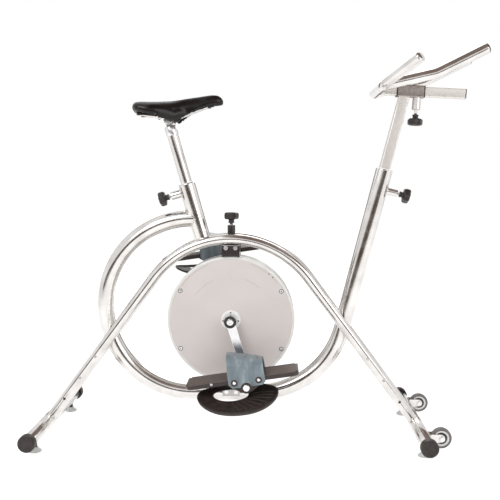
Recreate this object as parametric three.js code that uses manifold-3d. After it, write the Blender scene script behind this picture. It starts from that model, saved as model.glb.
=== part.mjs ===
// An aqua bike: an exercise bike of polished stainless tube that stands in a
// swimming pool. The rider faces +X, +Y is the rider's left and +Z is up.
// Lengths are in millimetres and angles in degrees.
import * as THREE from "three";
import { mergeVertices } from "three/addons/utils/BufferGeometryUtils.js";
import Module from "manifold-3d";

const wasm = await Module();
wasm.setup();

// Fits and rounding
const joinGap = 0.3;
const slideGap = 0.5;
const overrun = 4;
const pointMerge = 0.0001;
const cornerSteps = 1;
const roundSteps = 3;
const fewSides = 8;
const tubeSides = 10;
const mainSides = 12;
const fineSides = 16;
const drumSides = 32;
const loopSteps = 14;
const frontSteps = 6;
const archSteps = 12;
const hornSteps = 2;

// Main tube: a loop round the housing, a level run below and the front post
const housingRadius = 187.4;
const loopRoom = 73.6;
const mainRadius = 24.15;
const tubeWall = 2;
const lowTubeZ = 122;
const bendRadius = housingRadius + loopRoom;
const loopCentreX = -115.5;
const loopCentreZ = lowTubeZ + bendRadius;
const frontBendX = 75;
const frontLean = 14.1;
const frontPostTop = 787;

// Seat tube and seat post
const seatLean = 15.76;
const seatTubeRise = 102;
const seatTubeTop = loopCentreZ + bendRadius + seatTubeRise;
const seatTubeTopX = -131;
const seatTubeLength = 188;
const seatPostRadius = 16;
const seatPostShown = 172;
const seatPostHeld = 120;

// Leg arches: two alike, one on each side of the main tube
const archRadius = 282;
const archTubeRadius = 15;
const legLean = 36.55;

// Base bars, their end caps and suction feet
const barHeight = 45;
const barRadius = 19;
const barHalfLength = 255;
const capRadius = 24.25;
const capLength = 22;
const capEnd = 5;
const capEdge = 2.5;
const footInset = 70;
const footRadius = 19;
const footRim = 5;
const footHollow = 3;
const footSkirt = 4;
const footDome = 12;
const footStemRadius = 7;

// Transport wheels in front of the front bar
const wheelInset = 90;
const wheelReach = 48;
const wheelRadius = 29;
const wheelWidth = 18;
const wheelHubRadius = 19;
const wheelDish = 3;
const wheelPin = 4;
const forkPlate = 2.5;
const forkSideGap = 2;
const forkHeight = 13;
const forkNose = 9;

// Drag unit: a round housing with its rotor, hung inside the loop
const housingRise = 14.95;
const hubZ = lowTubeZ + mainRadius + housingRise + housingRadius;
const housingHalfWidth = 40;
const housingWall = 4;
const housingChamfer = 3;
const housingBoltInset = 16.4;
const housingBoltCircle = housingRadius - housingBoltInset;
const housingBoltAngle = 30;
const housingBoltHead = 5;
const housingBoltRise = 1.5;
const rotorInset = 27.4;
const rotorRadius = housingRadius - rotorInset;
const rotorRim = 8;
const rotorRimHalfWidth = 14;
const rotorWeb = 6;
const rotorHubRadius = 26;
const rotorHubHalfWidth = 18;
const axleRadius = 10;
const bearingRadius = 20;
const bearingDepth = 14;
const flangeRadius = 29;
const flangeThickness = 5;
const flangeEdge = 2;

// Brackets that hold the housing at its top and bottom
const topBracketRise = 35.1;
const archTop = hubZ + housingRadius + topBracketRise + archTubeRadius;
const bracketLength = 52;
const bracketHalfWidth = 46;
const bracketBoltHead = 6;
const bracketBoltRise = 2;
const bracketBoltPitch = 28;
const topBoltHeight = 24;
const lowBoltHeight = 8;
const cheekThickness = 6;
const cheekDrop = 20;

// Brake: a screw from above that lowers a shoe onto the rotor's rim
const brakeSleeveRadius = 11.5;
const brakeSleeveRise = 39;
const brakeSleeveTop = archTop + brakeSleeveRise;
const brakeScrewRadius = 5;
const brakeLift = 6;
const shoeLength = 60;
const shoeHeight = 10;
const shoeHalfWidth = 12;

// Knobs: four alike, three of them on studs that clamp
const knobRadius = 22;
const knobThickness = 20;
const knobLobes = 7;
const knobLobeDepth = 1.6;
const knobChamfer = 2.5;
const knobHubRadius = 9;
const knobHubLength = 11;
const studRadius = 5;
const studShown = 6;
const bossRadius = 12;
const bossLength = 30;
const seatKnobDrop = 23;
const stemKnobDrop = 58;
const slideKnobOffset = 20;
const slideBossLength = 34;
const slideStudShown = 14;

// Handlebar stem, its sleeve and the bar that slides in it
const stemWidth = 30;
const stemCorner = 3;
const stemWall = 2;
const stemHeld = 150;
const stemReach = 230;
const bushLip = 1.5;
const bushLipRise = 2.5;
const bushDepth = 40;
const slideAhead = 70.4;
const slideRise = 223.5;
const slideSlope = 3.1;
const sleeveLength = 74;
const sleeveWidth = 34;
const sleeveWall = 2;
const sleeveBushLip = 3;
const sleeveBushDepth = 8;
const slideWidth = 27;
const slideWall = 1.5;
const slideBarFront = 155;
const slidePlugLip = 3;

// Handlebar: a cross tube with two side grips, and two long horns. The cross
// tube is placed from the slide, and the grips and horns from the cross tube.
const gripRadius = 14;
const gripWall = 1.5;
const crossBack = 91;
const crossRise = 5.5;
const crossHalf = 115;
const gripAhead = 81;
const gripEndY = 200;
const gripRise = 61;
const gripBend = 38;
const hornY = 100;
const hornBendAhead = 145;
const hornBendRise = 32;
const hornAhead = 281;
const hornRise = 99;
const hornBend = 90;
const endPlugLip = 3;
const endPlugDepth = 14;

// Cranks and the spindles at their ends
const crankLength = 170;
const crankAngle = 17.56;
const crankInner = 60;
const crankThickness = 15;
const crankHubRadius = 18;
const crankEndRadius = 13;
const crankSideGap = 1.7;
const axleShown = 2;
const spindleRadius = 7;
const spindleHeadRadius = 9.5;
const spindleHead = 5;

// Pedals: a long footplate with a strap over the foot and a rubber dish below
const pedalTilt = 8.5;
const pedalInner = 88;
const pedalWidth = 95;
const plateFront = 149;
const plateBack = 167;
const plateBase = 17;
const plateThickness = 10;
const plateCorner = 14;
const plateRim = 5;
const plateTread = 2;
const pedalBlockDepth = 12;
const pedalBlockHalf = 15;
const pedalBlockLength = 104;
const pedalBlockEnd = 5;
const spindleWasherRadius = 14.5;
const spindleWasher = 2.5;
const strapLength = 96;
const strapRise = 65;
const strapFoot = 3.5;
const strapThickness = 3;
const strapCorner = 30;
const strapHem = 8;
const strapTurn = 5;
const strapNotchGap = 0.7;
const strapBoltSpan = 68;
const strapBoltHeight = 15;
const strapWasherRadius = 9;
const strapWasher = 1.5;
const strapBoltHead = 4;
const strapBoltRise = 4;
const dishHalfLength = 114;
const dishHalfWidth = 76;
const dishThickness = 4;
const dishLip = 5;
const dishLipDrop = 5;
const dishX = -24;
const dishDrop = 38;
const dishSag = 16;
const dishTurn = 4.5;
const dishHoleHalfLength = 50;
const dishHoleHalfWidth = 30;
const dishHoleX = -20;
const dishHoleY = 16;
const dishRibs = 7;
const dishRibStart = -165;
const dishRibSweep = 150;
const dishRibWidth = 4;
const dishRibInner = 24;
const dishRibLength = 56;
const dishRibHeight = 2;
const dishFootHalf = 18;
const dishFootWidth = 16;
const dishFootEdge = 10;

// Saddle, measured from the pivot of its clamp
const saddleBack = -105;
const saddleNose = 162;
const saddleTopBack = 52;
const saddleTopNose = 67;
const saddleDepth = 70;
const saddleEndDepth = 28;
const saddleHalfWidth = 86;
const saddleNoseHalf = 21;
const saddleRim = 6;
const saddleCover = 14;
const saddleOpen = 20;
const saddleTray = 3;
const saddleBellyShare = 0.3;
const saddleWaistShare = 0.85;
const saddleDeepestShare = 0.45;
const saddleFullnessShare = 0.6;
const saddleHemShare = 0.3;
const saddleSteepShare = 3;
const saddleRings = 10;
const saddleSides = 16;
const railRadius = 3.5;
const railHalfSpan = 22;
const railRise = 13;
const railFlatHalf = 34;
const railBackX = -80;
const railBackHalfSpan = 35;
const railBackRise = 25;
const railNoseX = 118;
const railNoseHalfSpan = 5;
const railNoseRise = 42;
const railBend = 4.8;
const railSteps = 2;
const socketHalf = 8;
const socketDrop = 6;
const pivotRise = 16;
const headRadius = 19;
const headCollar = 26;
const headCap = 2.5;
const headEarHalf = 11;
const headEarRadius = 9;
const clampBolt = 4;
const clampCheek = 4;
const clampHalfLength = 12;
const clampFoot = 5.5;
const clampPlate = 4;
const clampGrip = 6;
const clampGripSide = 3;

// Colours, roughness and metalness
const looks = {
  steel: [0xd6d5d6, 0.16, 1],
  brushed: [0xb7aca6, 0.35, 1],
  alloy: [0xe0dfe0, 0.2, 1],
  zinc: [0x9a9490, 0.4, 0.9],
  black: [0x1f1b1a, 0.45, 0],
  rubber: [0x2a2322, 0.85, 0],
  vinyl: [0x17100f, 0.28, 0],
  housing: [0xdcd3ce, 0.5, 0],
  white: [0xf0edeb, 0.4, 0],
  clear: [0xd9dcdb, 0.3, 0],
  strap: [0x8b979c, 0.35, 0],
  board: [0x4b403c, 0.6, 0],
  tyre: [0x75706f, 0.8, 0],
};

const radians = THREE.MathUtils.degToRad;

// Solids

// A geometry as a closed solid that faces out.
function solidFrom(geometry) {
  const bare = geometry.clone();
  bare.deleteAttribute("normal");
  bare.deleteAttribute("uv");
  const merged = mergeVertices(bare, pointMerge);
  const corners = [...merged.index.array];
  const triVerts = [];
  for (let i = 0; i < corners.length; i += 3) {
    const [a, b, c] = corners.slice(i, i + 3);
    if (a !== b && b !== c && c !== a) triVerts.push(a, b, c);
  }
  const places = merged.attributes.position.array;
  if (signedVolume(places, triVerts) < 0) triVerts.reverse();
  return new wasm.Manifold(
    new wasm.Mesh({
      numProp: 3,
      vertProperties: new Float32Array(places),
      triVerts: new Uint32Array(triVerts),
    })
  );
}

function signedVolume(places, triVerts) {
  const corner = (i) => new THREE.Vector3().fromArray(places, triVerts[i] * 3);
  let volume = 0;
  for (let i = 0; i < triVerts.length; i += 3) {
    volume += corner(i).dot(corner(i + 1).cross(corner(i + 2)));
  }
  return volume;
}

function geometryFrom(solid) {
  const mesh = solid.getMesh();
  const geometry = new THREE.BufferGeometry();
  const places = new THREE.BufferAttribute(mesh.vertProperties, 3);
  geometry.setAttribute("position", places);
  geometry.setIndex(new THREE.BufferAttribute(mesh.triVerts, 1));
  const flat = geometry.toNonIndexed();
  flat.computeVertexNormals();
  return flat;
}

const joined = (first, ...others) =>
  geometryFrom(others.reduce((sum, g) => sum.add(solidFrom(g)), solidFrom(first)));

const cut = (first, ...others) =>
  geometryFrom(others.reduce((sum, g) => sum.subtract(solidFrom(g)), solidFrom(first)));

const shared = (first, second) =>
  geometryFrom(solidFrom(first).intersect(solidFrom(second)));

const mirrorY = (geometry) => geometryFrom(solidFrom(geometry.scale(1, -1, 1)));

// Shapes about an axis

// The corner radius of a faceted hole whose flats lie at the hole's radius.
const opened = (radius, sides = fineSides) => radius / Math.cos(Math.PI / sides);

function lathe(pairs, sides = fineSides) {
  const points = pairs.map(([radius, height]) => new THREE.Vector2(radius, height));
  return new THREE.LatheGeometry(points, sides);
}

const roundY = (radius, from, to, sides = fineSides) =>
  lathe([[0, from], [radius, from], [radius, to], [0, to]], sides);

function pipeY(radius, bore, from, to, sides = fineSides) {
  const inner = opened(bore, sides);
  return lathe([[inner, from], [radius, from], [radius, to], [inner, to], [inner, from]], sides);
}

const upright = (geometry) => geometry.rotateX(radians(90));
const forward = (geometry) => geometry.rotateZ(radians(-90));

const roundZ = (radius, from, to, sides) => upright(roundY(radius, from, to, sides));
const roundX = (radius, from, to, sides) => forward(roundY(radius, from, to, sides));

// Cutters for holes, along Y, Z and X.
const holeY = (radius, from, to) => roundY(opened(radius), from, to);
const holeZ = (radius, from, to) => roundZ(opened(radius), from, to);
const holeX = (radius, from, to) => roundX(opened(radius), from, to);

// A box given by its least and greatest corners.
function block(x0, x1, y0, y1, z0, z1) {
  const box = new THREE.BoxGeometry(x1 - x0, y1 - y0, z1 - z0);
  return box.translate((x0 + x1) / 2, (y0 + y1) / 2, (z0 + z1) / 2);
}

function extruded(shape, depth, curveSegments) {
  const options = { depth, bevelEnabled: false, curveSegments };
  return new THREE.ExtrudeGeometry(shape, options);
}

// An outline in X and Z, given thickness along Y.
const slabY = (shape, from, to, steps = tubeSides) =>
  extruded(shape, to - from, steps).rotateX(radians(90)).translate(0, to, 0);

function roundedOutline(x0, x1, y0, y1, corner) {
  const shape = new THREE.Shape();
  shape.moveTo(x0 + corner, y0);
  shape.lineTo(x1 - corner, y0);
  shape.absarc(x1 - corner, y0 + corner, corner, radians(-90), 0);
  shape.lineTo(x1, y1 - corner);
  shape.absarc(x1 - corner, y1 - corner, corner, 0, radians(90));
  shape.lineTo(x0 + corner, y1);
  shape.absarc(x0 + corner, y1 - corner, corner, radians(90), radians(180));
  shape.lineTo(x0, y0 + corner);
  shape.absarc(x0 + corner, y0 + corner, corner, radians(180), radians(270));
  return shape;
}

// A square bar with rounded edges, along Z and along X.
function squareZ(width, corner, from, to) {
  const half = width / 2;
  const outline = roundedOutline(-half, half, -half, half, corner);
  return extruded(outline, to - from, cornerSteps).translate(0, 0, from);
}

const squareX = (width, corner, from, to) =>
  squareZ(width, corner, from, to).rotateY(radians(90));

// Tubes along a route of straight runs and round bends

class Route extends THREE.Curve {
  constructor(runs) {
    super();
    this.runs = runs;
    this.steps = runs.reduce((sum, run) => sum + run.steps, 0);
  }

  at(share, reading) {
    let left = share * this.steps;
    for (const run of this.runs) {
      if (left <= run.steps || run === this.runs.at(-1)) {
        return run[reading](Math.min(left / run.steps, 1));
      }
      left -= run.steps;
    }
  }

  getPoint(t, target = new THREE.Vector3()) {
    return target.copy(this.at(t, "place"));
  }

  getPointAt(t, target) {
    return this.getPoint(t, target);
  }

  getTangentAt(t, target = new THREE.Vector3()) {
    return target.copy(this.at(t, "heading"));
  }
}

function straightRun(from, to) {
  const heading = to.clone().sub(from).normalize();
  return {
    steps: 1,
    place: (t) => from.clone().lerp(to, t),
    heading: () => heading,
  };
}

// A bend about a centre, from the arm u towards the arm v.
function bendRun(centre, u, v, radius, sweep, steps) {
  const mixed = (a, b) => u.clone().multiplyScalar(a).addScaledVector(v, b);
  return {
    steps,
    place: (t) =>
      mixed(Math.cos(sweep * t), Math.sin(sweep * t)).multiplyScalar(radius).add(centre),
    heading: (t) => mixed(-Math.sin(sweep * t), Math.cos(sweep * t)),
  };
}

// A route through points with a round bend at each inner one.
function routeThrough(points, radius, steps) {
  const runs = [];
  let from = points[0];
  for (let i = 1; i < points.length - 1; i += 1) {
    const back = points[i - 1].clone().sub(points[i]).normalize();
    const ahead = points[i + 1].clone().sub(points[i]).normalize();
    const half = back.angleTo(ahead) / 2;
    const start = points[i].clone().addScaledVector(back, radius / Math.tan(half));
    const toCentre = back.clone().add(ahead).normalize();
    const centre = points[i].clone().addScaledVector(toCentre, radius / Math.sin(half));
    const u = start.clone().sub(centre).normalize();
    const bend = bendRun(centre, u, back.clone().negate(), radius, Math.PI - half * 2, steps);
    runs.push(straightRun(from, start), bend);
    from = bend.place(1);
  }
  runs.push(straightRun(from, points.at(-1)));
  return new Route(runs);
}

function circlePoints(radius, sides) {
  return Array.from({ length: sides }, (_, i) => {
    const angle = (i / sides) * radians(360);
    return new THREE.Vector2(radius * Math.cos(angle), radius * Math.sin(angle));
  });
}

function rodOn(route, radius, sides = tubeSides) {
  const shape = new THREE.Shape(circlePoints(radius, sides));
  return new THREE.ExtrudeGeometry(shape, { extrudePath: route, steps: route.steps });
}

const boreOn = (route, radius, sides = tubeSides) => rodOn(route, opened(radius, sides), sides);

const inPlane = (x, z, y = 0) => new THREE.Vector3(x, y, z);

// The assembly and its nested places

const bike = new THREE.Group();

function placeIn(parent, x, z, turn = 0, y = 0) {
  const group = new THREE.Group();
  group.position.set(x, y, z);
  group.rotation.y = radians(turn);
  parent.add(group);
  return group;
}

function add(parent, name, geometry, look) {
  const [color, roughness, metalness] = looks[look];
  const material = new THREE.MeshStandardMaterial({ color, roughness, metalness });
  const mesh = new THREE.Mesh(geometry, material);
  mesh.name = name;
  parent.add(mesh);
  return mesh;
}

// A shape given in a nested place, moved to the whole bike's own place.
function outOf(group, geometry) {
  bike.updateMatrixWorld(true);
  return geometry.clone().applyMatrix4(group.matrixWorld);
}

function into(group, geometry) {
  bike.updateMatrixWorld(true);
  return geometry.clone().applyMatrix4(group.matrixWorld.clone().invert());
}

// Both sides: -1 is the rider's right and 1 the left.
const sides = [["right", -1], ["left", 1]];
const ends = [["rear", -1], ["front", 1]];

// Where the front post leaves the lower bend, and its top.
const frontUp = inPlane(Math.sin(radians(frontLean)), Math.cos(radians(frontLean)));
const frontStart = inPlane(frontBendX + bendRadius * frontUp.z, loopCentreZ - bendRadius * frontUp.x);
const frontLength = (frontPostTop - frontStart.z) / frontUp.z;
const frontTop = frontStart.clone().addScaledVector(frontUp, frontLength);
const slideX = frontTop.x + slideAhead;
const slideZ = frontTop.z + slideRise;
const crossX = slideX - crossBack;
const crossZ = slideZ + crossRise;

const seatPlace = placeIn(bike, seatTubeTopX, seatTubeTop, -seatLean);
const frontPlace = placeIn(bike, frontTop.x, frontTop.z, frontLean);
const slidePlace = placeIn(bike, slideX, slideZ, slideSlope);
const hubPlace = placeIn(bike, 0, hubZ);

// Main tube and seat tube

// The seat tube's middle line at a height.
const seatLineX = (z) => seatTubeTopX - (z - seatTubeTop) * Math.tan(radians(seatLean));

function mainRoute(extra) {
  const loopTop = loopCentreZ + bendRadius;
  const loopLow = loopCentreZ - bendRadius;
  const start = inPlane(seatLineX(loopTop) + extra, loopTop);
  const loopCentre = inPlane(loopCentreX, loopCentreZ);
  const frontCentre = inPlane(frontBendX, loopCentreZ);
  const sweep = radians(90 - frontLean);
  return new Route([
    straightRun(start, inPlane(loopCentreX, loopTop)),
    bendRun(loopCentre, inPlane(0, 1), inPlane(-1, 0), bendRadius, radians(180), loopSteps),
    straightRun(inPlane(loopCentreX, loopLow), inPlane(frontBendX, loopLow)),
    bendRun(frontCentre, inPlane(0, -1), inPlane(1, 0), bendRadius, sweep, frontSteps),
    straightRun(frontStart, frontTop.clone().addScaledVector(frontUp, extra)),
  ]);
}

// A boss along X from a tube's middle, and the bore for its stud.
const bossOn = (radius, length) => roundX(bossRadius, 0, radius + length);
const studBore = (reach) => holeX(studRadius + joinGap, 0, reach + overrun);

function mainTube() {
  const reach = mainRadius + bossLength;
  const atKnob = (g) => outOf(frontPlace, g.translate(0, 0, -stemKnobDrop));
  const skin = rodOn(mainRoute(0), mainRadius, mainSides);
  const bore = boreOn(mainRoute(overrun), mainRadius - tubeWall, mainSides);
  const seatHole = outOf(seatPlace, holeZ(mainRadius + joinGap, -seatTubeLength, overrun));
  const whole = joined(skin, atKnob(bossOn(mainRadius, bossLength)));
  return cut(whole, bore, seatHole, atKnob(studBore(reach)));
}

// Turn a shape that points forward to point back, at the seat knob's height.
const atSeatKnob = (g) => g.rotateZ(radians(180)).translate(0, 0, -seatKnobDrop);

function seatTube() {
  const skin = roundZ(mainRadius, -seatTubeLength, 0);
  const bore = holeZ(mainRadius - tubeWall, -seatTubeLength - overrun, overrun);
  const whole = joined(skin, atSeatKnob(bossOn(mainRadius, bossLength)));
  return cut(whole, bore, atSeatKnob(studBore(mainRadius + bossLength)));
}

// Leg arches
const archCentreZ = archTop - archRadius;
const archY = mainRadius + joinGap + archTubeRadius;
const archSweep = 180 - legLean * 2;
const legStartX = archRadius * Math.cos(radians(legLean));
const legStartZ = archCentreZ + archRadius * Math.sin(radians(legLean));
const barX = legStartX + (legStartZ - barHeight) * Math.tan(radians(legLean));

const barHole = (x) =>
  holeY(barRadius + joinGap, -barHalfLength, barHalfLength).translate(x, 0, barHeight);

function archRoute(y, extra) {
  const first = inPlane(Math.cos(radians(legLean)), Math.sin(radians(legLean)));
  const across = inPlane(-first.z, first.x);
  const sweep = radians(archSweep);
  const out = extra * Math.sin(radians(legLean));
  const down = extra * Math.cos(radians(legLean));
  return new Route([
    straightRun(inPlane(barX + out, barHeight - down, y), inPlane(legStartX, legStartZ, y)),
    bendRun(inPlane(0, archCentreZ, y), first, across, archRadius, sweep, archSteps),
    straightRun(inPlane(-legStartX, legStartZ, y), inPlane(-barX - out, barHeight - down, y)),
  ]);
}

function legArch(side) {
  const skin = rodOn(archRoute(side * archY, 0), archTubeRadius);
  const bore = boreOn(archRoute(side * archY, overrun), archTubeRadius - tubeWall);
  return cut(skin, bore, barHole(barX), barHole(-barX));
}

// Base bars, their caps and feet

// A rubber cap over a bar's end, along +Y.
function endCap() {
  const bore = opened(barRadius + joinGap);
  const outside = barHalfLength + joinGap + capEnd;
  return lathe([
    [0, barHalfLength + joinGap],
    [bore, barHalfLength + joinGap],
    [bore, outside - capLength],
    [capRadius, outside - capLength],
    [capRadius, outside - capEdge],
    [capRadius - capEdge, outside],
    [0, outside],
  ]);
}

// A suction cup that stands on the floor, with its stem up to the bar.
function suctionFoot() {
  const top = barHeight - barRadius - joinGap;
  const rim = footRadius - footRim;
  const profile = [
    [0, footHollow],
    [rim - footRim, footHollow],
    [rim, 0],
    [footRadius, 0],
    [footRadius, footSkirt],
    [footStemRadius, footDome],
    [footStemRadius, top],
    [0, top],
  ];
  return upright(lathe(profile, mainSides));
}

// Transport wheels
const forkGap = wheelWidth / 2 + forkSideGap;

function transportWheel() {
  const half = wheelWidth / 2;
  const bore = opened(wheelPin + joinGap);
  return lathe([
    [bore, -half + wheelDish],
    [wheelHubRadius, -half + wheelDish],
    [wheelHubRadius + wheelDish, -half],
    [wheelRadius - wheelDish, -half],
    [wheelRadius, -half + wheelDish],
    [wheelRadius, half - wheelDish],
    [wheelRadius - wheelDish, half],
    [wheelHubRadius + wheelDish, half],
    [wheelHubRadius, half - wheelDish],
    [bore, half - wheelDish],
    [bore, -half + wheelDish],
  ]);
}

// A bent plate from the bar, with the wheel's pin between its cheeks.
function wheelFork() {
  const back = -wheelReach;
  const cheek = new THREE.Shape();
  cheek.moveTo(back, -forkHeight);
  cheek.lineTo(0, -forkNose);
  cheek.absarc(0, 0, forkNose, radians(-90), radians(45), false);
  cheek.lineTo(0, forkHeight);
  cheek.lineTo(back, forkHeight);
  const outer = forkGap + forkPlate;
  const plates = [slabY(cheek, forkGap, outer, fewSides), slabY(cheek, -outer, -forkGap, fewSides)];
  const webEnd = -wheelRadius + slideGap;
  const web = block(back, webEnd, -outer, outer, forkHeight - forkPlate, forkHeight);
  const pin = roundY(wheelPin, -outer - forkPlate, outer + forkPlate, tubeSides);
  const bar = holeY(barRadius + joinGap, -outer - overrun, outer + overrun).translate(back, 0, 0);
  return cut(joined(web, pin, ...plates), bar);
}

// Drag unit

function housingBoltPlaces() {
  const across = housingBoltCircle * Math.cos(radians(housingBoltAngle));
  const rise = housingBoltCircle * Math.sin(radians(housingBoltAngle));
  return [[across, rise], [-across, rise], [-across, -rise], [across, -rise]];
}

// One half of the housing, on +Y.
function housingHalf() {
  const inner = joinGap / 2;
  const outer = housingHalfWidth;
  const faceInner = outer - housingWall;
  const wallInner = housingRadius - housingWall;
  const bore = opened(bearingRadius + joinGap, drumSides);
  const shell = lathe(
    [
      [bore, faceInner],
      [wallInner, faceInner],
      [wallInner, inner],
      [housingRadius, inner],
      [housingRadius, outer - housingChamfer],
      [housingRadius - housingChamfer, outer],
      [bore, outer],
      [bore, faceInner],
    ],
    drumSides
  );
  const bolts = housingBoltPlaces().map(([x, z]) => {
    const head = roundY(housingBoltHead, outer - housingBoltRise, outer + housingBoltRise, fewSides);
    return head.translate(x, 0, z);
  });
  const port = holeZ(brakeScrewRadius + slideGap, wallInner - overrun, housingRadius + overrun);
  return cut(joined(shell, ...bolts), port);
}

// A flanged bearing in the housing's face, on +Y.
function bearing() {
  const face = housingHalfWidth + joinGap;
  const outside = face + flangeThickness;
  const bore = opened(axleRadius + joinGap);
  return lathe([
    [bore, face - bearingDepth],
    [bearingRadius, face - bearingDepth],
    [bearingRadius, face],
    [flangeRadius, face],
    [flangeRadius, outside - flangeEdge],
    [flangeRadius - flangeEdge, outside],
    [bore, outside],
    [bore, face - bearingDepth],
  ]);
}

function rotor() {
  const bore = opened(axleRadius + joinGap);
  const rim = rotorRadius - rotorRim;
  const web = rotorWeb / 2;
  return lathe([
    [bore, -rotorHubHalfWidth],
    [rotorHubRadius, -rotorHubHalfWidth],
    [rotorHubRadius, -web],
    [rim, -web],
    [rim, -rotorRimHalfWidth],
    [rotorRadius, -rotorRimHalfWidth],
    [rotorRadius, rotorRimHalfWidth],
    [rim, rotorRimHalfWidth],
    [rim, web],
    [rotorHubRadius, web],
    [rotorHubRadius, rotorHubHalfWidth],
    [bore, rotorHubHalfWidth],
    [bore, -rotorHubHalfWidth],
  ]);
}

// Brackets

// Two bolt heads on each side of a bracket, proud of its half width.
function boltHeads(halfWidth, z) {
  const long = halfWidth + bracketBoltRise;
  const root = halfWidth - bracketBoltRise;
  return [-bracketBoltPitch / 2, bracketBoltPitch / 2].flatMap((x) => [
    roundY(bracketBoltHead, root, long, fewSides).translate(x, 0, z),
    roundY(bracketBoltHead, -long, -root, fewSides).translate(x, 0, z),
  ]);
}

// The upper bracket fills the space between the housing and the arches.
function topBracket() {
  const half = bracketLength / 2;
  const seat = housingRadius + joinGap;
  const chord = archRadius * Math.cos(radians(archSweep / archSteps / 2));
  const under = chord - archTubeRadius - joinGap;
  const dip = Math.acos(half / seat);
  const top = Math.acos(half / under);
  const shape = new THREE.Shape();
  shape.absarc(0, hubZ, seat, Math.PI - dip, dip, true);
  shape.absarc(0, archCentreZ, under, top, Math.PI - top, false);
  const body = slabY(shape, -bracketHalfWidth, bracketHalfWidth, frontSteps);
  const foot = hubZ + housingRadius + topBoltHeight;
  const sleeve = roundZ(brakeSleeveRadius, foot, brakeSleeveTop);
  const bore = holeZ(brakeScrewRadius + joinGap, hubZ, brakeSleeveTop + overrun);
  const heads = boltHeads(bracketHalfWidth, foot);
  return cut(joined(body, sleeve, ...heads), bore);
}

// The lower bracket straddles the main tube under the housing.
function bottomBracket() {
  const half = bracketLength / 2;
  const seat = housingRadius + joinGap;
  const tubeZ = loopCentreZ - bendRadius;
  const inside = mainRadius + joinGap;
  const outer = inside + cheekThickness;
  const dip = Math.acos(half / seat);
  const shape = new THREE.Shape();
  shape.moveTo(-half, tubeZ - cheekDrop);
  shape.lineTo(half, tubeZ - cheekDrop);
  shape.absarc(0, hubZ, seat, -dip, dip - Math.PI, true);
  const body = slabY(shape, -outer, outer);
  const groove = holeX(inside, -bracketLength, bracketLength).translate(0, 0, tubeZ);
  const low = tubeZ - cheekDrop - overrun;
  const mouth = block(-bracketLength, bracketLength, -inside, inside, low, tubeZ);
  const heads = boltHeads(outer, tubeZ + lowBoltHeight);
  return cut(joined(body, ...heads), groove, mouth);
}

// Brake, about the hub

function brakeShoe() {
  const face = rotorRadius + brakeLift;
  const half = shoeLength / 2;
  const reach = Math.acos(half / face);
  const shape = new THREE.Shape();
  shape.absarc(0, 0, face, Math.PI - reach, reach, true);
  shape.lineTo(half, face + shoeHeight);
  shape.lineTo(-half, face + shoeHeight);
  return slabY(shape, -shoeHalfWidth, shoeHalfWidth);
}

function brakeScrew() {
  const foot = rotorRadius + brakeLift + shoeHeight + joinGap;
  const top = brakeSleeveTop - hubZ + studShown + knobHubLength - joinGap;
  return roundZ(brakeScrewRadius, foot, top, tubeSides);
}

// Knobs and studs, along +X

function knobOutline() {
  const count = knobLobes * 3;
  return Array.from({ length: count }, (_, i) => {
    const angle = (i / count) * radians(360);
    const radius = knobRadius - (knobLobeDepth * (1 - Math.cos(angle * knobLobes))) / 2;
    return new THREE.Vector2(radius * Math.cos(angle), radius * Math.sin(angle));
  });
}

// A knob whose hub starts at 0.
function knob() {
  const head = new THREE.ExtrudeGeometry(new THREE.Shape(knobOutline()), {
    depth: knobThickness - knobChamfer * 2,
    bevelThickness: knobChamfer,
    bevelSize: knobChamfer,
    bevelOffset: -knobChamfer,
    bevelSegments: 1,
  });
  head.translate(0, 0, knobHubLength + knobChamfer).rotateY(radians(90));
  const hub = roundX(knobHubRadius, 0, knobHubLength + knobChamfer, tubeSides);
  const socket = holeX(studRadius + joinGap, -overrun, knobHubLength);
  return cut(joined(head, hub), socket);
}

// A stud from what it clamps to the bottom of the knob's socket.
const stud = (from, reach) =>
  roundX(studRadius, from + joinGap, reach + knobHubLength - joinGap, tubeSides);

// Bushes that guide the seat post and the stem

function bushProfile(bore) {
  const outer = mainRadius - tubeWall - joinGap;
  return [
    [bore, -bushDepth],
    [outer, -bushDepth],
    [outer, joinGap],
    [mainRadius, joinGap],
    [mainRadius - bushLip, joinGap + bushLipRise],
    [bore, joinGap + bushLipRise],
  ];
}

function seatBush() {
  const profile = bushProfile(opened(seatPostRadius + joinGap));
  return cut(upright(lathe([...profile, profile[0]])), atSeatKnob(studBore(mainRadius)));
}

function stemBush() {
  const fit = stemWidth + joinGap * 2;
  const hole = squareZ(fit, stemCorner, -bushDepth - overrun, bushLipRise + overrun);
  return cut(upright(lathe(bushProfile(0))), hole);
}

const seatPost = () =>
  upright(pipeY(seatPostRadius, seatPostRadius - tubeWall, -seatPostHeld, seatPostShown));

// Stem with its sleeve, about the sleeve's middle

// A stem bar in the sleeve's place, up to a height there.
function stemTo(width, corner, extra, top) {
  const bar = squareZ(width, corner, -stemHeld - extra, stemReach);
  const size = stemReach;
  const above = block(-size, size, -size, size, top, size);
  return cut(into(slidePlace, outOf(frontPlace, bar)), above);
}

// Turn a shape that points forward to point down, at the slide knob's place.
const atSlideKnob = (g) => g.rotateY(radians(90)).translate(slideKnobOffset, 0, 0);

function handlebarStem() {
  const half = sleeveLength / 2;
  const outer = sleeveWidth / 2;
  const inner = sleeveWidth - sleeveWall * 2;
  const sleeve = squareX(sleeveWidth, stemCorner, -half, half);
  const tunnel = squareX(inner, stemCorner - sleeveWall, -half - overrun, half + overrun);
  const post = stemTo(stemWidth, stemCorner, 0, sleeveWall - outer);
  const hollow = stemTo(stemWidth - stemWall * 2, stemCorner - stemWall, overrun, -outer);
  const reach = outer + slideBossLength;
  const boss = atSlideKnob(roundX(bossRadius, outer - sleeveWall, reach));
  return cut(joined(sleeve, post, boss), tunnel, hollow, atSlideKnob(studBore(reach)));
}

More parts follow.
